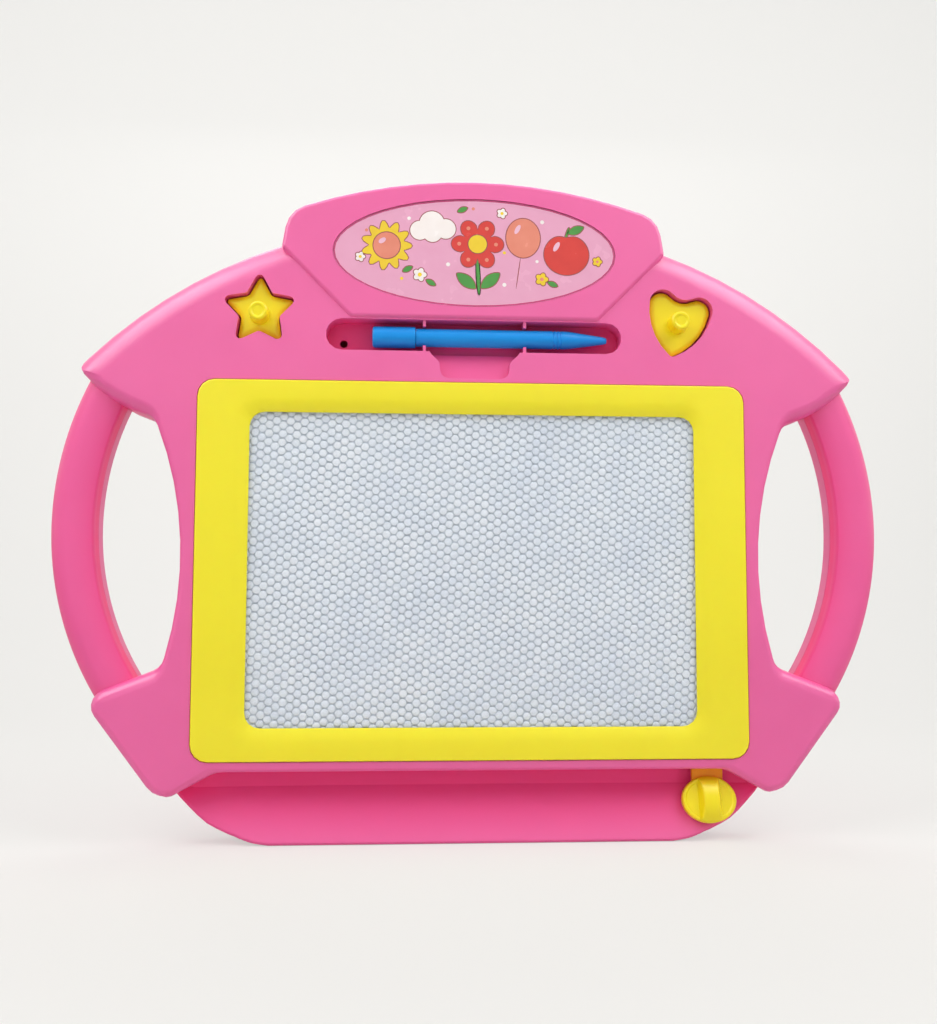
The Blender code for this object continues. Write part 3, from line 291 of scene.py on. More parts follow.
# Screen-printed ink on a vinyl sticker under gloss varnish: even colour with a faint mottle of
# 9 mm, and an orange-peel ripple of 0.8 mm in the varnish.
def printedInk(name, light, dark):
    material, tree, shader = newMaterial(name)
    place = addNode(tree, "ShaderNodeTexCoord")
    mottle = grainNoise(tree, place, 0.009, 2.0, 0.5)
    tone = addTone(tree, (mottle, "Fac"), (0.3, dark), (0.7, light))
    peel = grainNoise(tree, place, 0.0008, 1.0, 0.5)
    rough = glossRange(tree, mottle, 0.20, 0.28)
    bump = addBump(tree, peel, 0.04, 0.0001)
    setInputs(
        tree,
        shader,
        Base_Color=(tone, "Color"),
        Roughness=(rough, "Result"),
        Normal=(bump, "Normal"),
        IOR=1.5,
    )
    return material


# The plastics: lighter and darker tone, roughness and shine. The stem stands in the trough's pink
# shade, so its yellow is toned to orange.
# Painted shade in the front housing's recesses: from y -9.8 mm back to 0.5 mm the pink is mixed
# towards a deeper pink and its shine drops.
recessShade = {"from": -0.0098, "to": 0.0005, "colour": "#f4468a", "shine": 0.15}
frontAbs = mouldedAbs("pinkPolishedAbs", "#ee5fa3", "#ea5a9f", 0.36, shine=0.8, recess=recessShade)
pinkAbs = mouldedAbs("pinkMouldedAbs", "#ee5fa3", "#ea5a9f", 0.36, shine=0.6)
yellowAbs = mouldedAbs("yellowMouldedAbs", "#f8ea14", "#f5e60f", 0.36, shine=0.6)
stampAbs = mouldedAbs("stampMouldedAbs", "#f8e716", "#f4e10f", 0.34, shine=0.4)
stemAbs = mouldedAbs("stemMouldedAbs", "#f2a31d", "#ec9a1a", 0.40, shine=0.2)
blueAbs = mouldedAbs("blueMouldedAbs", "#0a97ec", "#0891e6", 0.33, flow=0.030, shine=0.3)
carriageAbs = mouldedAbs("naturalMouldedAbs", "#e4e2da", "#d8d6cc", 0.45)
steel = platedSteel("zincPlatedSteel")
magnet = ferriteRubber("ferriteRubber")
writingFilm = polyesterFilm("mattPolyesterFilm", 0.08)
backFilm = polyesterFilm("backPolyesterFilm", 0.5)
labelInk = printedInk("pinkPrintedVinyl", "#eba9c7", "#e9a4c3")

materialOf = {
    "front_housing": frontAbs,
    "rear_housing": pinkAbs,
    "screen_bezel": yellowAbs,
    "star_stamp": stampAbs,
    "heart_stamp": stampAbs,
    "eraser_knob": stemAbs,
    "stylus_barrel": blueAbs,
    "stylus_end_cap": blueAbs,
    "eraser_carriage": carriageAbs,
    "eraser_magnet_strip": magnet,
    "star_stamp_magnet": magnet,
    "heart_stamp_magnet": magnet,
    "stylus_tip_magnet": steel,
    "carriage_screw": steel,
    "screen_front_film": writingFilm,
    "screen_back_film": backFilm,
    "label_sticker": labelInk,
}
# What is not listed is a rear screw, or hidden and of the carriage's plastic.
for name in frame["nodes"]:
    item = bpy.data.objects[name]
    item.data.materials.clear()
    item.data.materials.append(materialOf.get(name, steel if "screw_" in name else carriageAbs))

slotOf = {part["node"]: part["material_slot"] for part in frame["record"]["subparts"]}
bodyOf = {}
for body, nodes in frame["record"]["behaviour"]["bodies"].items():
    for node in nodes:
        bodyOf[node] = body
print("stage: materials made")


# Cuts the chosen faces by a fan of planes that stand on a centre (x, z), along the directions.
def cutFan(work, centre, directions, inside):
    faces = [face for face in work.faces if all(inside(vertex.co) for vertex in face.verts)]
    cut = set(faces)
    for face in faces:
        cut.update(face.edges)
        cut.update(face.verts)
    cut = list(cut)
    for x, z in directions:
        cut = bmesh.ops.bisect_plane(
            work, geom=cut, dist=1e-6, plane_co=(centre[0], 0, centre[1]), plane_no=(-z, 0, x)
        )["geom"]


# A shell's handles are swept in straight steps along two arcs: (radius, whole angle, steps).
handle = {
    "widest": 0.196,
    "height": 0.1525,
    "inner": 0.150,
    "reach": 0.0125,
    "arcs": ((0.1564, 0.48706, 4), (0.148, -0.60027, 5)),
    "cuts": 4,
}
# The foot's corners, by spokes from a pivot: angle from straight down, the shell's outline, and how
# far the true outline lies out of it, in millimetres. Only the corner is cut along the spokes.
foot = {
    "pivot": (0.098, 0.050),
    "angles": (0, 4.6, 8.6, 12.8, 15.0, 18.6, 23.4, 29.4, 36.4, 45.5, 52.0, 60.0, 66.0, 74.0),
    "outline": (50, 50.2, 50.6, 51.2, 51.3, 51.1, 50.7, 50.3, 50.1, 49.9, 49.7, 49.5, 49.5, 49.5),
    "growth": (0, -0.5, -1.1, -2.1, -2.45, -2.4, -1.9, -1.2, -0.15, 0.45, 1.0, 2.3, 1.2, 0),
    "fadeIn": (14.0, 5.0),
    "fadeOut": 8.0,
    "slope": 0.4,
    "front": -0.00905,
    "fadeDepth": 0.006,
    "edgeTop": 0.048,
    "cornerDrop": 0.010,
    "cornerReach": 0.034,
    "cutsAt": range(1, 64, 2),
}


def cutShell(work):
    for side in (1, -1):
        pivot = (side * foot["pivot"][0], foot["pivot"][1])
        cutFan(work, (pivot[0], 0.0), [(0, 1)], lambda place: place.z < foot["edgeTop"])
        for radius, sweep, steps in handle["arcs"]:
            across, step, cuts = handle["widest"] - radius, sweep / steps, handle["cuts"]

            def onHandle(place):
                x, z = place.x * side - across, place.z - handle["height"]
                return (
                    place.x * side > handle["inner"]
                    and abs(math.hypot(x, z) - radius) < handle["reach"]
                    and -1e-4 < math.atan2(z, x) / step < steps + 1e-4
                )

            turns = [step * i / cuts for i in range(steps * cuts) if i % cuts]
            directions = [(side * math.cos(turn), math.sin(turn)) for turn in turns]
            cutFan(work, (side * across, handle["height"]), directions, onHandle)

        def atCorner(place):
            x, z = place.x * side - foot["pivot"][0], foot["pivot"][1] - place.z
            return (
                x > -0.00001 and z > foot["cornerDrop"] and math.hypot(x, z) > foot["cornerReach"]
            )

        turns = [math.radians(degrees) for degrees in foot["cutsAt"]]
        directions = [(side * math.sin(turn), -math.cos(turn)) for turn in turns]
        cutFan(work, pivot, directions, atCorner)


def softStep(share):
    share = np.clip(share, 0, 1)
    return share * share * (3 - 2 * share)


# Rounds the cut shell. On a handle every point at angle a from its step's middle moves out from
# its arc's centre by cos(a) / cos(h), where h is half the step's angle: that turns each chord into
# its arc. At the foot's corners points move along their spokes by the growth, which fades inwards
# and outwards, and the sloping front moves with them so that it stays flat.
def bendShell(points):
    points = points.copy()
    side = np.sign(points[:, 0])
    for radius, sweep, steps in handle["arcs"]:
        across, step = handle["widest"] - radius, sweep / steps
        x, z = points[:, 0] * side - across, points[:, 2] - handle["height"]
        away, part = np.hypot(x, z), np.arctan2(z, x) / step
        on = (points[:, 0] * side > handle["inner"]) & (np.abs(away - radius) < handle["reach"])
        on &= (part > 0) & (part < steps)
        grow = np.cos((part % 1 - 0.5) * abs(step)) / math.cos(abs(step) / 2)
        grow = np.where(on, grow, 1.0)
        points[:, 0] = side * (across + x * grow)
        points[:, 2] = handle["height"] + z * grow
    x, z = points[:, 0] * side - foot["pivot"][0], foot["pivot"][1] - points[:, 2]
    away, angle = np.hypot(x, z) * 1000, np.degrees(np.arctan2(x, z))
    outline = np.interp(angle, foot["angles"], foot["outline"])
    growth = np.interp(angle, foot["angles"], foot["growth"], left=0, right=0)
    fadeIn = np.where(growth < 0, foot["fadeIn"][0], foot["fadeIn"][1])
    weight = softStep(1 - (outline - away) / fadeIn)
    weight *= softStep(1 - (away - outline) / foot["fadeOut"])
    move = np.where((x > 0) & (z > 0), growth * weight, 0) / np.maximum(away, 1)
    rise = z * move
    front = foot["front"] + foot["slope"] * points[:, 2]
    nearFront = np.clip(1 - (points[:, 1] - front) / foot["fadeDepth"], 0, 1)
    points[:, 0] += side * x * move
    points[:, 2] -= rise
    points[:, 1] -= foot["slope"] * rise * nearFront
    return points


# The slider's stem alone: all below the disc's top is cut off, and the cut edge is drawn down again
# to end behind the new disc.
stem = {"cut": 0.0334, "end": 0.0212}


def keepStem(work):
    cut = bmesh.ops.bisect_plane(
        work,
        geom=work.verts[:] + work.edges[:] + work.faces[:],
        dist=1e-6,
        plane_co=(0, 0, stem["cut"]),
        plane_no=(0, 0, 1),
        clear_inner=True,
    )
    edges = [item for item in cut["geom_cut"] if isinstance(item, bmesh.types.BMEdge)]
    drawn = bmesh.ops.extrude_edge_only(work, edges=edges)["geom"]
    for item in drawn:
        if isinstance(item, bmesh.types.BMVert):
            item.co.z = stem["end"]
    last = [item for item in drawn if isinstance(item, bmesh.types.BMEdge) and item.is_boundary]
    bmesh.ops.holes_fill(work, edges=last, sides=0)
    bmesh.ops.recalc_face_normals(work, faces=work.faces[:])


def addObject(name, data):
    item = bpy.data.objects.new(name, data)
    bpy.context.scene.collection.objects.link(item)
    return item


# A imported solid's skin: its loose triangles joined, flat faces made whole, sharp edges broken by a
# small bevel as a mould's edges are, and normals weighted by area so that flat faces stay flat.
skins = {
    "joinWithin": 0.000004,
    "flatWithin": 0.4,
    "sharpFrom": 32.0,
    "edge": 0.0003,
    "screwEdge": 0.00012,
    "areaWeight": 60,
}


def skinOf(node, edge=skins["edge"], reshape=None, bend=None):
    mesh = bpy.data.objects[node].data.copy()
    work = bmesh.new()
    work.from_mesh(mesh)
    bmesh.ops.remove_doubles(work, verts=work.verts[:], dist=skins["joinWithin"])
    flatWithin = math.radians(skins["flatWithin"])
    bmesh.ops.dissolve_limit(
        work, angle_limit=flatWithin, verts=work.verts[:], edges=work.edges[:]
    )
    if reshape:
        reshape(work)
    for face in work.faces:
        face.smooth = True
    work.to_mesh(mesh)
    work.free()
    if bend:
        places = np.empty(len(mesh.vertices) * 3)
        mesh.vertices.foreach_get("co", places)
        mesh.vertices.foreach_set("co", bend(places.reshape(-1, 3)).ravel())
        mesh.update()
    skin = addObject(node + "_skin", mesh)
    bevel = skin.modifiers.new("brokenEdge", "BEVEL")
    bevel.width = edge
    bevel.segments = 2
    bevel.limit_method = "ANGLE"
    bevel.angle_limit = math.radians(skins["sharpFrom"])
    bevel.miter_outer = "MITER_ARC"
    weighted = skin.modifiers.new("areaNormals", "WEIGHTED_NORMAL")
    weighted.keep_sharp = True
    weighted.weight = skins["areaWeight"]
    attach(skin, bodyOf[node])
    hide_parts(node)


for node in ("front_housing", "rear_housing"):
    skinOf(node, reshape=cutShell, bend=bendShell)
for node in ("screen_bezel", "star_stamp", "heart_stamp", "stylus_barrel", "stylus_end_cap"):
    skinOf(node)
skinOf("eraser_knob", reshape=keepStem)
for number in range(1, 9):
    skinOf(f"rear_screw_{number}", edge=skins["screwEdge"])
print("stage: skins made")


def newPiece(name, points, faces, materials, body, slot, *nodes):
    mesh = bpy.data.meshes.new(name)
    mesh.from_pydata(points.tolist(), [], faces)
    for material in materials:
        mesh.materials.append(material)
    piece = addObject(name, mesh)
    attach(piece, body)
    if nodes:
        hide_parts(*nodes)
    return piece


# The faces of a solid whose points lie in rings, numbered from start, with its two ends closed.
def loftFaces(rings, sides, start=0):
    ring, following = np.arange(sides), (np.arange(sides) + 1) % sides
    faces = []
    for number in range(rings - 1):
        a, b = start + number * sides, start + (number + 1) * sides
        faces += np.stack([a + ring, a + following, b + following, b + ring], 1).tolist()
    return faces + [(start + ring[::-1]).tolist(), (start + (rings - 1) * sides + ring).tolist()]


# The slider's disc and grip rib, in the disc's own plane: u across, v up the slant, w towards the
# front. The disc is an ellipse with rounded edges and a thin raised rim. The rib's crest is an arc
# of a circle over the disc's height, and each section of it is a bar with rounded shoulders.
knob = {
    "place": (0.1165, -0.0074, 0.0202),
    "lean": 16.0,
    "half": (0.01345, 0.0112),
    "points": 72,
    "thick": 0.0042,
    "round": 0.0009,
    "backEdge": 0.0006,
    "rim": 0.00045,
    "rimInsets": (0.0005, 0.0007, 0.0011, 0.0014),
    "rimSoft": 0.00006,
    "hub": 0.0095,
    "ribSections": 41,
    "ribBase": 0.0056,
    "ribTop": 0.0041,
    "ribRise": 0.0049,
    "ribReach": 0.0107,
    "ribRoot": 0.002,
    "ribInside": (0.0005, 0.0003),
    "ribProud": 0.00002,
    "shoulder": 0.0011,
    "shoulderShare": 0.45,
    "shoulderFrom": 0.22,
}


def makeKnob():
    turn = np.linspace(0, 2 * math.pi, knob["points"], endpoint=False)
    edge, back, rim, reach = knob["round"], knob["backEdge"], knob["rim"], knob["ribReach"]
    arc = np.linspace(0, math.pi / 2, 6)
    inset = [back, 0.0, *(edge * (1 - np.cos(arc)))]
    level = [-knob["thick"], back - knob["thick"], *(edge * (np.sin(arc) - 1))]
    inset += [edge + step for step in knob["rimInsets"]] + [knob["hub"]]
    level += [0.0, -knob["rimSoft"], knob["rimSoft"] - rim, -rim, -rim]
    inset, level = np.array(inset)[:, None], np.array(level)[:, None]
    rings = np.stack(
        [
            (knob["half"][0] - inset) * np.cos(turn),
            (knob["half"][1] - inset) * np.sin(turn),
            level + 0 * turn,
        ],
        -1,
    )
    faces = loftFaces(len(rings), len(turn))
    # The rib's sections: v along its length, the width held inside the disc's rim.
    count = knob["ribSections"]
    along = -reach * np.cos(np.linspace(0, math.pi, count))
    rise = knob["ribRise"] - rim
    radius = (reach**2 + rise**2) / (2 * rise)
    height = np.sqrt(radius**2 - along**2) - (radius - rise) + knob["ribProud"]
    roomX, roomZ = (half - less for half, less in zip(knob["half"], knob["ribInside"]))
    base = np.minimum(knob["ribBase"], roomX * np.sqrt(1 - (along / roomZ) ** 2))
    top = base - (knob["ribBase"] - knob["ribTop"]) * height / rise
    soft = np.minimum(knob["shoulder"], height * knob["shoulderShare"])
    bends = np.linspace(knob["shoulderFrom"], math.pi / 2, 6)
    sections = []
    for v, h, b, t, r in zip(along, height, base, top, soft):
        right = [(b, -knob["ribRoot"]), (b, -rim)]
        right += [(t - r + r * math.cos(a), h - r + r * math.sin(a)) for a in bends]
        line = right + [(-u, w) for u, w in right[::-1]]
        sections.append([(u, v, w) for u, w in line])
    sections = np.array(sections)
    faces += loftFaces(count, sections.shape[1], rings.shape[0] * rings.shape[1])
    flat = np.concatenate([rings.reshape(-1, 3), sections.reshape(-1, 3)])
    lean = math.radians(knob["lean"])
    across = np.array([1.0, 0, 0])
    up = np.array([0, math.sin(lean), math.cos(lean)])
    out = np.array([0, -math.cos(lean), math.sin(lean)])
    points = np.array(knob["place"]) + flat[:, :1] * across + flat[:, 1:2] * up + flat[:, 2:] * out
    body, slot = bodyOf["eraser_knob"], slotOf["eraser_knob"]
    piece = newPiece("eraser_knob_disc", points, faces, [stampAbs], body, slot)
    work = bmesh.new()
    work.from_mesh(piece.data)
    bmesh.ops.recalc_face_normals(work, faces=work.faces[:])
    work.to_mesh(piece.data)
    work.free()
    piece.data.shade_smooth()
    weighted = piece.modifiers.new("areaNormals", "WEIGHTED_NORMAL")
    weighted.weight = skins["areaWeight"]
    print("stage: knob made")


makeKnob()


# The cell sheet. Its cells stand in columns a pitch apart, every second column half a row lower,
# and the whole lattice is skewed as it was laid in by hand. One cell is a hexagon with its six
# corners cut, carried over rings: a skirt sunk in the plate, a rim, a shoulder and a middle, at
# rising heights.
cells = {
    "columnPitch": 0.00338,
    "rowPitch": 0.00427,
    "columns": 40,
    "rows": 24,
    "halfWidth": 0.00219,
    "halfHeight": 0.00192,
    "cornerCut": 0.24,
    "shoulder": 0.78,
    "rimDepth": 0.00034,
    "shoulderDepth": 0.00010,
    "wallDepth": 0.00080,
    "skirtDepth": 0.00095,
    "clearance": 0.00006,
    "chamfer": 0.0003,
    "rowSink": 2.4,
    "columnLean": 3.6,
    "window": (0.220, 0.153),
    "margin": 0.0022,
    "shift": 0.00006,
    "growth": 0.025,
    "tilt": 0.016,
    "tiltLimits": (-0.00005, 0.00012),
    # Next: the share of painted rim shade that an upper flat keeps, and the least that a slanted
    # side keeps.
    "rimShadeAbove": 0.55,
    "slantRimShade": 0.04,
    "slantDepth": 0.45,
    "seed": 23,
}


def makeCells():
    low, high = (np.array(corner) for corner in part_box("screen_honeycomb"))
    middle = (low + high) / 2
    front = low[1] + cells["clearance"]
    sink, lean = math.radians(cells["rowSink"]), math.radians(cells["columnLean"])
    columns, rows = (np.arange(-cells[way], cells[way] + 1) for way in ("columns", "rows"))
    column, row = (grid.ravel() for grid in np.meshgrid(columns, rows, indexing="ij"))
    along = column * cells["columnPitch"]
    down = (row + 0.5 * (column % 2)) * cells["rowPitch"]
    x = along * math.cos(sink) - down * math.sin(lean)
    z = -along * math.sin(sink) - down * math.cos(lean)
    halfX, halfZ = (size / 2 + cells["margin"] for size in cells["window"])
    inside = (np.abs(x) < halfX) & (np.abs(z) < halfZ)
    x, z = x[inside], z[inside]
    count = len(x)
    dice = np.random.default_rng(cells["seed"])
    x = x + dice.uniform(-1, 1, count) * cells["shift"]
    z = z + dice.uniform(-1, 1, count) * cells["shift"]
    size = 1 + dice.uniform(-1, 1, count) * cells["growth"]
    tiltX, tiltZ = dice.normal(0, cells["tilt"], (2, count))
    shade = dice.uniform(0, 1, count)
    corner = np.array([(1, 0), (0.5, 1), (-0.5, 1), (-1, 0), (-0.5, -1), (0.5, -1)], float)
    cut = cells["cornerCut"]
    before = corner + (np.roll(corner, 1, 0) - corner) * cut
    after = corner + (np.roll(corner, -1, 0) - corner) * cut
    outline = np.stack([before, after], 1).reshape(-1, 2)
    outline = outline * (cells["halfWidth"], cells["halfHeight"])
    sides = len(outline)
    rings = np.concatenate([outline, outline, outline * cells["shoulder"], [[0.0, 0.0]]])
    shares = [sides, sides, sides, 1]
    depths = np.repeat(
        [cells["skirtDepth"], cells["rimDepth"], cells["shoulderDepth"], 0.0], shares
    )
    upper = np.repeat([0.0, 1.0, 1.0, 1.0], shares)
    # A rim's painted shade is darkest at its flats, weaker at the upper flat than the lower, and
    # lightest on its slanted sides. A flat is where the outline reaches its full height, a slant
    # where it has under 0.6 of it.
    flat = np.abs(outline[:, 1]) / cells["halfHeight"] * 2.4 - 1.4
    flat = np.clip(flat, cells["slantRimShade"], 1.0)
    fade = np.where(outline[:, 1] < 0, 1.0, cells["rimShadeAbove"])
    rim = np.concatenate([flat, flat * fade, flat * 0.0, [0.0]])
    depths[sides : 2 * sides] *= cells["slantDepth"] + (1 - cells["slantDepth"]) * flat
    offsetX = rings[None, :, 0] * size[:, None]
    offsetZ = rings[None, :, 1] * size[:, None]
    tilted = (offsetX * tiltX[:, None] + offsetZ * tiltZ[:, None]) * upper
    depth = np.maximum(depths[None, :] + np.clip(tilted, *cells["tiltLimits"]), 0)
    points = np.stack(
        [middle[0] + x[:, None] + offsetX, front + depth, middle[2] + z[:, None] + offsetZ], -1
    )
    ring = np.arange(sides)
    following = (ring + 1) % sides
    skirt = np.stack([ring, following, sides + following, sides + ring], 1)
    quads = np.concatenate([skirt, skirt + sides])
    fan = np.stack([2 * sides + ring, 2 * sides + following, np.full(sides, 3 * sides)], 1)
    start = np.arange(count)[:, None, None] * len(rings)
    faces = (quads[None] + start).reshape(-1, 4).tolist()
    faces += (fan[None] + start).reshape(-1, 3).tolist()
    faces += (ring[::-1][None, None] + start).reshape(-1, sides).tolist()
    cellFaces = len(faces)
    # The plate behind the cells: a box with a chamfer all round, as four rings from back to front.
    chamfer, plateFront = cells["chamfer"], front + cells["wallDepth"]
    signs = np.array([(-1, -1), (1, -1), (1, 1), (-1, 1)], float)
    half = np.array([(high[0] - low[0]) / 2, (high[2] - low[2]) / 2])
    plate = []
    for step, place in (
        (chamfer, high[1]),
        (0.0, high[1] - chamfer),
        (0.0, plateFront + chamfer),
        (chamfer, plateFront),
    ):
        across, upward = (signs * (half - step)).T
        plate.append(np.stack([middle[0] + across, np.full(4, place), middle[2] + upward], 1))
    base = count * len(rings)
    for number in range(3):
        a = base + number * 4
        for side in range(4):
            nextSide = (side + 1) % 4
            faces.append((a + side, a + nextSide, a + 4 + nextSide, a + 4 + side))
    faces.append((base + 12, base + 13, base + 14, base + 15))
    faces.append((base + 3, base + 2, base + 1, base))
    points = np.concatenate([points.reshape(-1, 3)] + plate)
    slot = slotOf["screen_honeycomb"]
    looks = [cellFluid("whiteCellFluid"), cellWall("formedCellWall")]
    piece = newPiece("screen_cells", points, faces, looks, "board", slot, "screen_honeycomb")
    mesh = piece.data
    numbers = np.zeros(len(mesh.polygons), np.int32)
    numbers[cellFaces:] = 1
    mesh.polygons.foreach_set("material_index", numbers)
    onPlate = np.zeros(len(points) - base)
    for title, values in (("fluid", np.repeat(shade, len(rings))), ("rim", np.tile(rim, count))):
        layer = mesh.attributes.new(title, "FLOAT", "POINT")
        layer.data.foreach_set("value", np.concatenate([values, onPlate]).astype(np.float32))
    smooth = np.zeros(len(mesh.polygons), bool)
    smooth[: count * 3 * sides] = True
    mesh.polygons.foreach_set("use_smooth", smooth)
    print("stage:", count, "cells made")


makeCells()


# The label's print: each motif is a flat outline a few hundredths of a millimetre thick, with a
# darker and slightly larger outline under it as its drawn line. Sizes are in millimetres from the
# label's middle.
label = {
    "lineWidth": 0.45,
    "layer": 0.000022,
    "sunk": 0.00004,
    "points": 72,
    "ringInset": 0.10,
    "groundInset": 0.75,
    "puffs": (
        ((-27.6, 11), 4.8),
        ((-21.6, 14.6), 6.2),
        ((-14.8, 12.0), 5.0),
        ((-21.3, 10.0), 4.8),
    ),
    "flower": (1.2, 4.6),
    "daisies": (
        ((-27.5, -11.5), 3.4, "white"),
        ((33.4, -12.6), 3.2, "yellow"),
        ((13.4, 20.6), 2.6, "white"),
        ((-57.0, -3.0), 2.5, "white"),
        ((61.4, -3.0), 2.4, "yellow"),
    ),
    "leaves": (
        ((-33.6, -8.8), 28),
        ((-22.0, -15.4), -30),
        ((38.8, -15.0), -22),
        ((-6.4, 22.0), 24),
    ),
    "dots": (
        ((-33, 17.0), 0.9, "white"),
        ((-13.5, -6.0), 1.0, "white"),
        ((-36.5, -13.6), 0.8, "yellow"),
        ((14.6, 0.5), 0.8, "yellow"),
        ((33.6, 16.6), 1.0, "white"),
        ((14.6, -15.8), 1.0, "white"),
        ((-1.0, 22.6), 0.8, "coral"),
        ((31.0, -3.6), 0.8, "white"),
        ((-54.0, 10.5), 0.8, "coral"),
    ),
}


def makeLabelPrint():
    low, high = (np.array(corner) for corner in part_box("label_sticker"))
    middle = (low + high) / 2
    inks = {
        "line": printedInk("brownInk", "#9c4a48", "#934340"),
        "red": printedInk("redInk", "#dc3b33", "#d2322b"),
        "green": printedInk("greenInk", "#4a9a3e", "#3f8e36"),
        "yellow": printedInk("yellowInk", "#f4d42c", "#efca22"),
        "coral": printedInk("coralInk", "#ea8f78", "#e4846c"),
        "white": printedInk("whiteInk", "#fdf6f3", "#f8eeea"),
        "blush": printedInk("blushInk", "#f3c3d8", "#f0bbd2"),
        # A painted shadow: the crimson line along the label's edge.
        "edgeShade": printedInk("crimsonInk", "#c9417c", "#c23a74"),
        "ground": labelInk,
    }
    names = list(inks)
    turn = np.linspace(0, 2 * math.pi, label["points"], endpoint=False)
    store = {"points": [], "faces": [], "colours": [], "total": 0}

    def placed(flat, angle, place):
        a = math.radians(angle)
        rotation = np.array([[math.cos(a), math.sin(a)], [-math.sin(a), math.cos(a)]])
        return flat @ rotation + np.array(place)

    # An outline given as its distance from its middle at each angle, stretched, turned and placed.
    def ring(place, distance, stretch=(1.0, 1.0), angle=0.0):
        radius = distance(turn) if callable(distance) else np.full(len(turn), float(distance))
        flat = [radius * np.cos(turn) * stretch[0], radius * np.sin(turn) * stretch[1]]
        return placed(np.stack(flat, 1), angle, place)

    # Moves every point of an outline out along its normal.
    def grown(outline, width):
        along = np.roll(outline, -1, 0) - np.roll(outline, 1, 0)
        normal = np.stack([along[:, 1], -along[:, 0]], 1)
        return outline + normal / np.linalg.norm(normal, axis=1, keepdims=True) * width

    def lay(outline, ink, level):
        count = len(outline)
        rim = np.concatenate([outline, outline.mean(0)[None]]) * 0.001
        front = low[1] - label["layer"] * level
        back = low[1] + label["sunk"]
        for y in (front, back):
            store["points"].append(
                np.stack([middle[0] + rim[:, 0], np.full(count + 1, y), middle[2] + rim[:, 1]], 1)
            )
        i = np.arange(count)
        j = (i + 1) % count
        start = store["total"]
        hub = np.full(count, count)
        step = count + 1
        store["faces"] += (np.stack([hub, i, j], 1) + start).tolist()
        store["faces"] += (np.stack([hub + step, j + step, i + step], 1) + start).tolist()
        store["faces"] += (np.stack([i, i + step, j + step, j], 1) + start).tolist()
        store["colours"] += [names.index(ink)] * (3 * count)
        store["total"] += 2 * step

    def drawn(outline, ink, level=3):
        lay(grown(outline, label["lineWidth"]), "line", level - 1)
        lay(outline, ink, level)

    # A narrow leaf along an angle: its width follows the sine of the way along it.
    def leaf(place, length, width, angle, level=3):
        half = np.linspace(0, 1, label["points"] // 2, endpoint=False)
        side = width / 2 * np.sin(math.pi * half) ** 0.75
        upper = np.stack([length * (0.5 - half), side], 1)
        lower = np.stack([length * (half - 0.5), -side], 1)
        drawn(placed(np.concatenate([upper, lower]), angle, place), "green", level)

    # A crimson line all round along the label's own outline, a painted shadow of the recess's edge
    # at the label's rim, and the ground over it, a little smaller.
    mesh = bpy.data.objects["label_sticker"].data
    corners = np.empty(len(mesh.vertices) * 3)
    mesh.vertices.foreach_get("co", corners)
    corners = np.unique(corners.reshape(-1, 3).round(7), axis=0)
    front = corners[corners[:, 1] < low[1] + 0.00002][:, [0, 2]]
    front = (front - middle[[0, 2]]) * 1000
    edge = front[np.argsort(np.arctan2(front[:, 1], front[:, 0]))]
    lay(grown(edge, -label["ringInset"]), "edgeShade", 1)
    lay(grown(edge, -label["groundInset"]), "ground", 1.5)
    # A sun: a disc in a ring of rays, whose reach is a power of a cosine wave.
    drawn(ring((-44, 3), lambda t: 8.6 + 4.0 * np.abs(np.cos(5.5 * t)) ** 1.6), "yellow", 3)
    drawn(ring((-44, 3), 6.6), "coral", 5)
    lay(ring((-46.2, 5.4), 1.0, (2.0, 1.2), 35), "blush", 6)
    # A cloud of four puffs.
    for level, ink, extra in ((2, "line", label["lineWidth"]), (3, "white", 0.0)):
        for puff, (place, size) in enumerate(label["puffs"]):
            lay(ring(place, size + extra), ink, level + 0.2 * puff)
    # A flower on a stem with two leaves.
    drawn(ring((1.5, -11.5), 1.0, (0.85, 9.5), 3), "green", 2.5)
    leaf((-4.4, -14.2), 12.0, 5.6, -38)
    leaf((7.6, -13.8), 12.0, 5.6, 40)
    bloom = label["flower"]
    drawn(ring(bloom, lambda t: 7.2 + 5.8 * np.abs(np.cos(3.0 * t)) ** 0.7), "red", 5)
    drawn(ring(bloom, 4.6), "yellow", 7)
    for angle in range(0, 360, 60):
        a = math.radians(angle)
        lay(ring((bloom[0] + 9.2 * math.cos(a), bloom[1] + 9.2 * math.sin(a)), 0.95), "coral", 6)
    # A balloon with its knot, its string and a pale glint.
    drawn(ring((21.6, -9.6), 1.0, (0.26, 8.4), -8), "line", 2)
    drawn(ring((23.6, 0.2), lambda t: 1.6 + 0.5 * np.cos(3 * (t + 0.5))), "coral", 3)
    drawn(ring((24.0, 9.2), lambda t: 9.2 * (1 - 0.10 * np.sin(t)), (0.92, 1.08)), "coral", 5)
    lay(ring((21.2, 12.6), 1.0, (1.1, 2.6), -28), "blush", 6)
    # An apple with a leaf and a stalk, drawn in at its top by a bell curve.
    drawn(ring((46.2, 11.0), 1.0, (0.55, 3.2), -18), "green", 3)
    leaf((50.6, 12.8), 8.6, 4.0, 24, level=4)
    dent = 1.6 * np.exp(-(((turn - math.pi / 2) / 0.34) ** 2))
    drawn(ring((45.8, 0.2), lambda t: 10.6 - dent, (1.06, 0.97)), "red", 5)
    lay(ring((40.8, 4.2), 1.0, (1.2, 2.7), -30), "blush", 6)
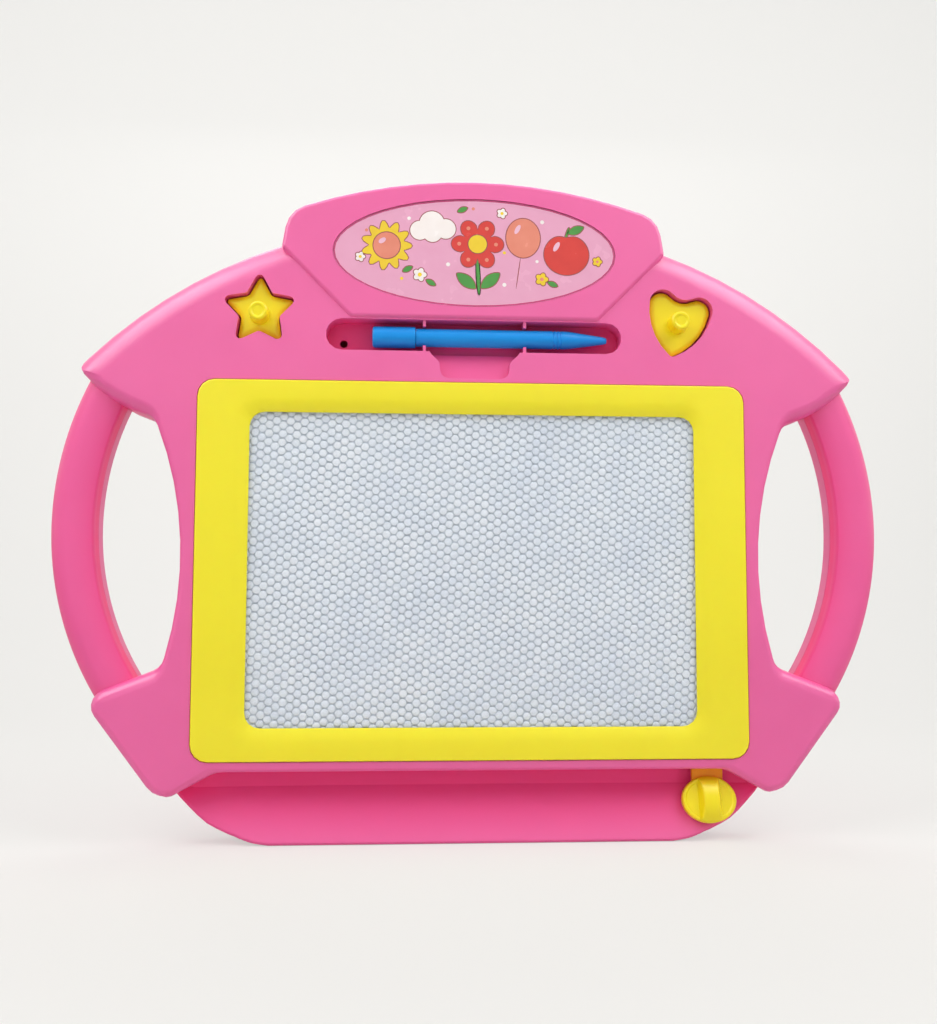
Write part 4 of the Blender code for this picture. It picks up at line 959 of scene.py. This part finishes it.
    # Small daisies, leaves and dots between them.
    for place, size, ink in label["daisies"]:
        drawn(ring(place, lambda t: size * (0.66 + 0.34 * np.abs(np.cos(2.5 * t)))), ink, 3)
        lay(ring(place, size * 0.30), "coral" if ink == "yellow" else "yellow", 4)
    for place, angle in label["leaves"]:
        leaf(place, 5.4, 2.5, angle)
    for place, size, ink in label["dots"]:
        lay(ring(place, size), ink, 3)
    piece = newPiece(
        "label_print_motifs",
        np.concatenate(store["points"]),
        store["faces"],
        [inks[name] for name in names],
        "board",
        slotOf["label_sticker"],
    )
    piece.data.polygons.foreach_set("material_index", np.array(store["colours"], np.int32))
    print("stage: label printed")


makeLabelPrint()


def standAt(item, right, up, back, place):
    rows = [[right[i], up[i], back[i], place[i]] for i in range(3)]
    item.matrix_world = Matrix(rows + [[0, 0, 0, 1]])


# Camera: fitted to the bezel's corners and the board's outline. A 40.7 mm lens on a sensor 36 mm
# wide, 0.52 m in front of the bezel.
lens = {
    "right": (0.998006, -0.063055, 0.002721),
    "up": (-0.007599, -0.077254, 0.996982),
    "focal": 40.73,
    "sensor": 36.0,
    "clip": (0.01, 20.0),
    "fromBezel": (-0.03544, -0.51535, -0.01237),
}


def makeCamera():
    low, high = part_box("screen_bezel")
    middle = np.array([(low[0] + high[0]) / 2, low[1], (low[2] + high[2]) / 2])
    right = np.array(lens["right"])
    up = np.array(lens["up"])
    right /= np.linalg.norm(right)
    up -= right * (up @ right)
    up /= np.linalg.norm(up)
    data = bpy.data.cameras.new("camera")
    data.sensor_fit = "HORIZONTAL"
    data.sensor_width = lens["sensor"]
    data.lens = lens["focal"]
    data.clip_start, data.clip_end = lens["clip"]
    camera = addObject("camera", data)
    standAt(camera, right, up, np.cross(right, up), middle + np.array(lens["fromBezel"]))
    bpy.context.scene.camera = camera


makeCamera()


# 1 for a ray that the camera, a gloss or a clear film sees, else 0.
def seenRay(tree):
    path = addNode(tree, "ShaderNodeLightPath")
    both = addMath(tree, "MAXIMUM", (path, "Is Camera Ray"), (path, "Is Glossy Ray"))
    return addMath(tree, "MAXIMUM", (both, 0), (path, "Is Transmission Ray"))


# 1 plus a change that only a gloss sees.
def glossLevel(tree, change):
    path = addNode(tree, "ShaderNodeLightPath")
    return addMath(tree, "MULTIPLY_ADD", (path, "Is Glossy Ray"), change, 1.0)


# A studio sweep: floor, cove and backdrop as one profile carried sideways. The profile is a
# straight floor, a quarter circle and a straight wall. Its paper has a share of light of its own,
# a little stronger with the height, and in a gloss the upper part counts for more.
sweep = {
    "front": -2.6,
    "bend": 0.35,
    "radius": 0.5,
    "height": 2.6,
    "half": 2.8,
    "steps": 33,
    "paper": "#eceae7",
    "glow": "#f3f3f0",
    "ownLight": 0.62,
    "heights": (0.0, 0.7),
    "levels": (0.97, 1.19),
    "glossHeights": (0.05, 0.60),
    "glossChange": (-0.5, 0.7),
}


def makeSweep():
    turns = np.linspace(0, math.pi / 2, sweep["steps"])
    wall = sweep["bend"] + sweep["radius"]
    cove = sweep["bend"] + sweep["radius"] * np.sin(turns)
    y = np.concatenate([[sweep["front"]], cove, [wall]])
    z = np.concatenate([[0.0], sweep["radius"] * (1 - np.cos(turns)), [sweep["height"]]])
    x = np.array([-sweep["half"], sweep["half"]])
    points = np.stack([np.repeat(x, len(y)), np.tile(y, 2), np.tile(z, 2)], 1)
    count = len(y)
    faces = [(i, count + i, count + i + 1, i + 1) for i in range(count - 1)]
    mesh = bpy.data.meshes.new("sweep")
    mesh.from_pydata(points.tolist(), [], faces)
    mesh.shade_smooth()
    paper = addObject("sweep", mesh)
    material, tree, shader = newMaterial("mattPaper")
    setInputs(
        tree, shader, Base_Color=hexColour(sweep["paper"]), Roughness=0.9, Specular_IOR_Level=0.1
    )
    place = addNode(tree, "ShaderNodeTexCoord")
    apart = addNode(tree, "ShaderNodeSeparateXYZ", Vector=(place, "Object"))
    change = addRange(tree, (apart, "Z"), sweep["glossHeights"], sweep["glossChange"])
    rising = addRange(tree, (apart, "Z"), sweep["heights"], sweep["levels"])
    level = glossLevel(tree, (change, "Result"))
    strength = addMath(tree, "MULTIPLY", (level, 0), (rising, "Result"))
    colour = hexColour(sweep["glow"])
    glow = addNode(tree, "ShaderNodeEmission", Color=colour, Strength=(strength, 0))
    share = addMath(tree, "MULTIPLY", (seenRay(tree), 0), sweep["ownLight"])
    mixed = addNode(tree, "ShaderNodeMixShader", in0=(share, 0), in1=(shader, 0), in2=(glow, 0))
    tree.links.new(mixed.outputs[0], tree.nodes["Material Output"].inputs["Surface"])
    mesh.materials.append(material)


makeSweep()

# Two soft boxes above the board's outer sides, a weaker one behind the camera and one behind the
# board: place, the point they face, width and height, and power in watts.
lamps = {
    "leftBox": ((-0.60, -0.36, 0.86), (-0.05, 0.0, 0.20), (0.8, 0.6), 5.75),
    "rightBox": ((0.60, -0.36, 0.86), (0.05, 0.0, 0.20), (0.8, 0.6), 5.75),
    "frontBox": ((0.0, -1.6, 0.9), (0.0, 0.0, 0.15), (1.8, 0.8), 1.6),
    "backBox": ((0.0, 0.55, 0.95), (0.0, 0.0, 0.15), (0.8, 0.4), 3.0),
}


def areaLight(name, place, target, size, power):
    data = bpy.data.lights.new(name, "AREA")
    data.shape = "RECTANGLE"
    data.size, data.size_y = size
    data.energy = power
    back = np.array(place) - np.array(target)
    back = back / np.linalg.norm(back)
    right = np.cross([0, 0, 1], back)
    right /= np.linalg.norm(right)
    standAt(addObject(name, data), right, np.cross(back, right), back, place)


for name, lamp in lamps.items():
    areaLight(name, *lamp)

# The studio's white walls: dim as a light, plain white to the eye. What a gloss sees of them goes
# by the direction's z: pairs of z and a share, which is stretched and shifted by the gloss change.
walls = {
    "colour": "#f6f6f4",
    "strength": 0.25,
    "shown": "#f3f4f1",
    "glossLevels": ((0.25, 0.53), (0.50, 0.1), (0.68, 0.1), (0.80, 1.0)),
    "glossChange": (1.8, -0.4),
}


def makeWorld():
    world = bpy.data.worlds.new("studio")
    world.use_nodes = True
    tree = world.node_tree
    dim = tree.nodes["Background"]
    setInputs(tree, dim, Color=hexColour(walls["colour"]), Strength=walls["strength"])
    place = addNode(tree, "ShaderNodeTexCoord")
    apart = addNode(tree, "ShaderNodeSeparateXYZ", Vector=(place, "Generated"))
    stops = [(height, (level, level, level, 1)) for height, level in walls["glossLevels"]]
    overhead = addRamp(tree, (apart, "Z"), stops)
    change = addMath(tree, "MULTIPLY_ADD", (overhead, "Color"), *walls["glossChange"])
    level = glossLevel(tree, (change, 0))
    colour = hexColour(walls["shown"])
    shown = addNode(tree, "ShaderNodeBackground", Color=colour, Strength=(level, 0))
    seen = seenRay(tree)
    mixed = addNode(tree, "ShaderNodeMixShader", in0=(seen, 0), in1=(dim, 0), in2=(shown, 0))
    tree.links.new(mixed.outputs[0], tree.nodes["World Output"].inputs["Surface"])
    bpy.context.scene.world = world


makeWorld()
bpy.context.scene.view_settings.view_transform = "Standard"
print("stage: studio made")
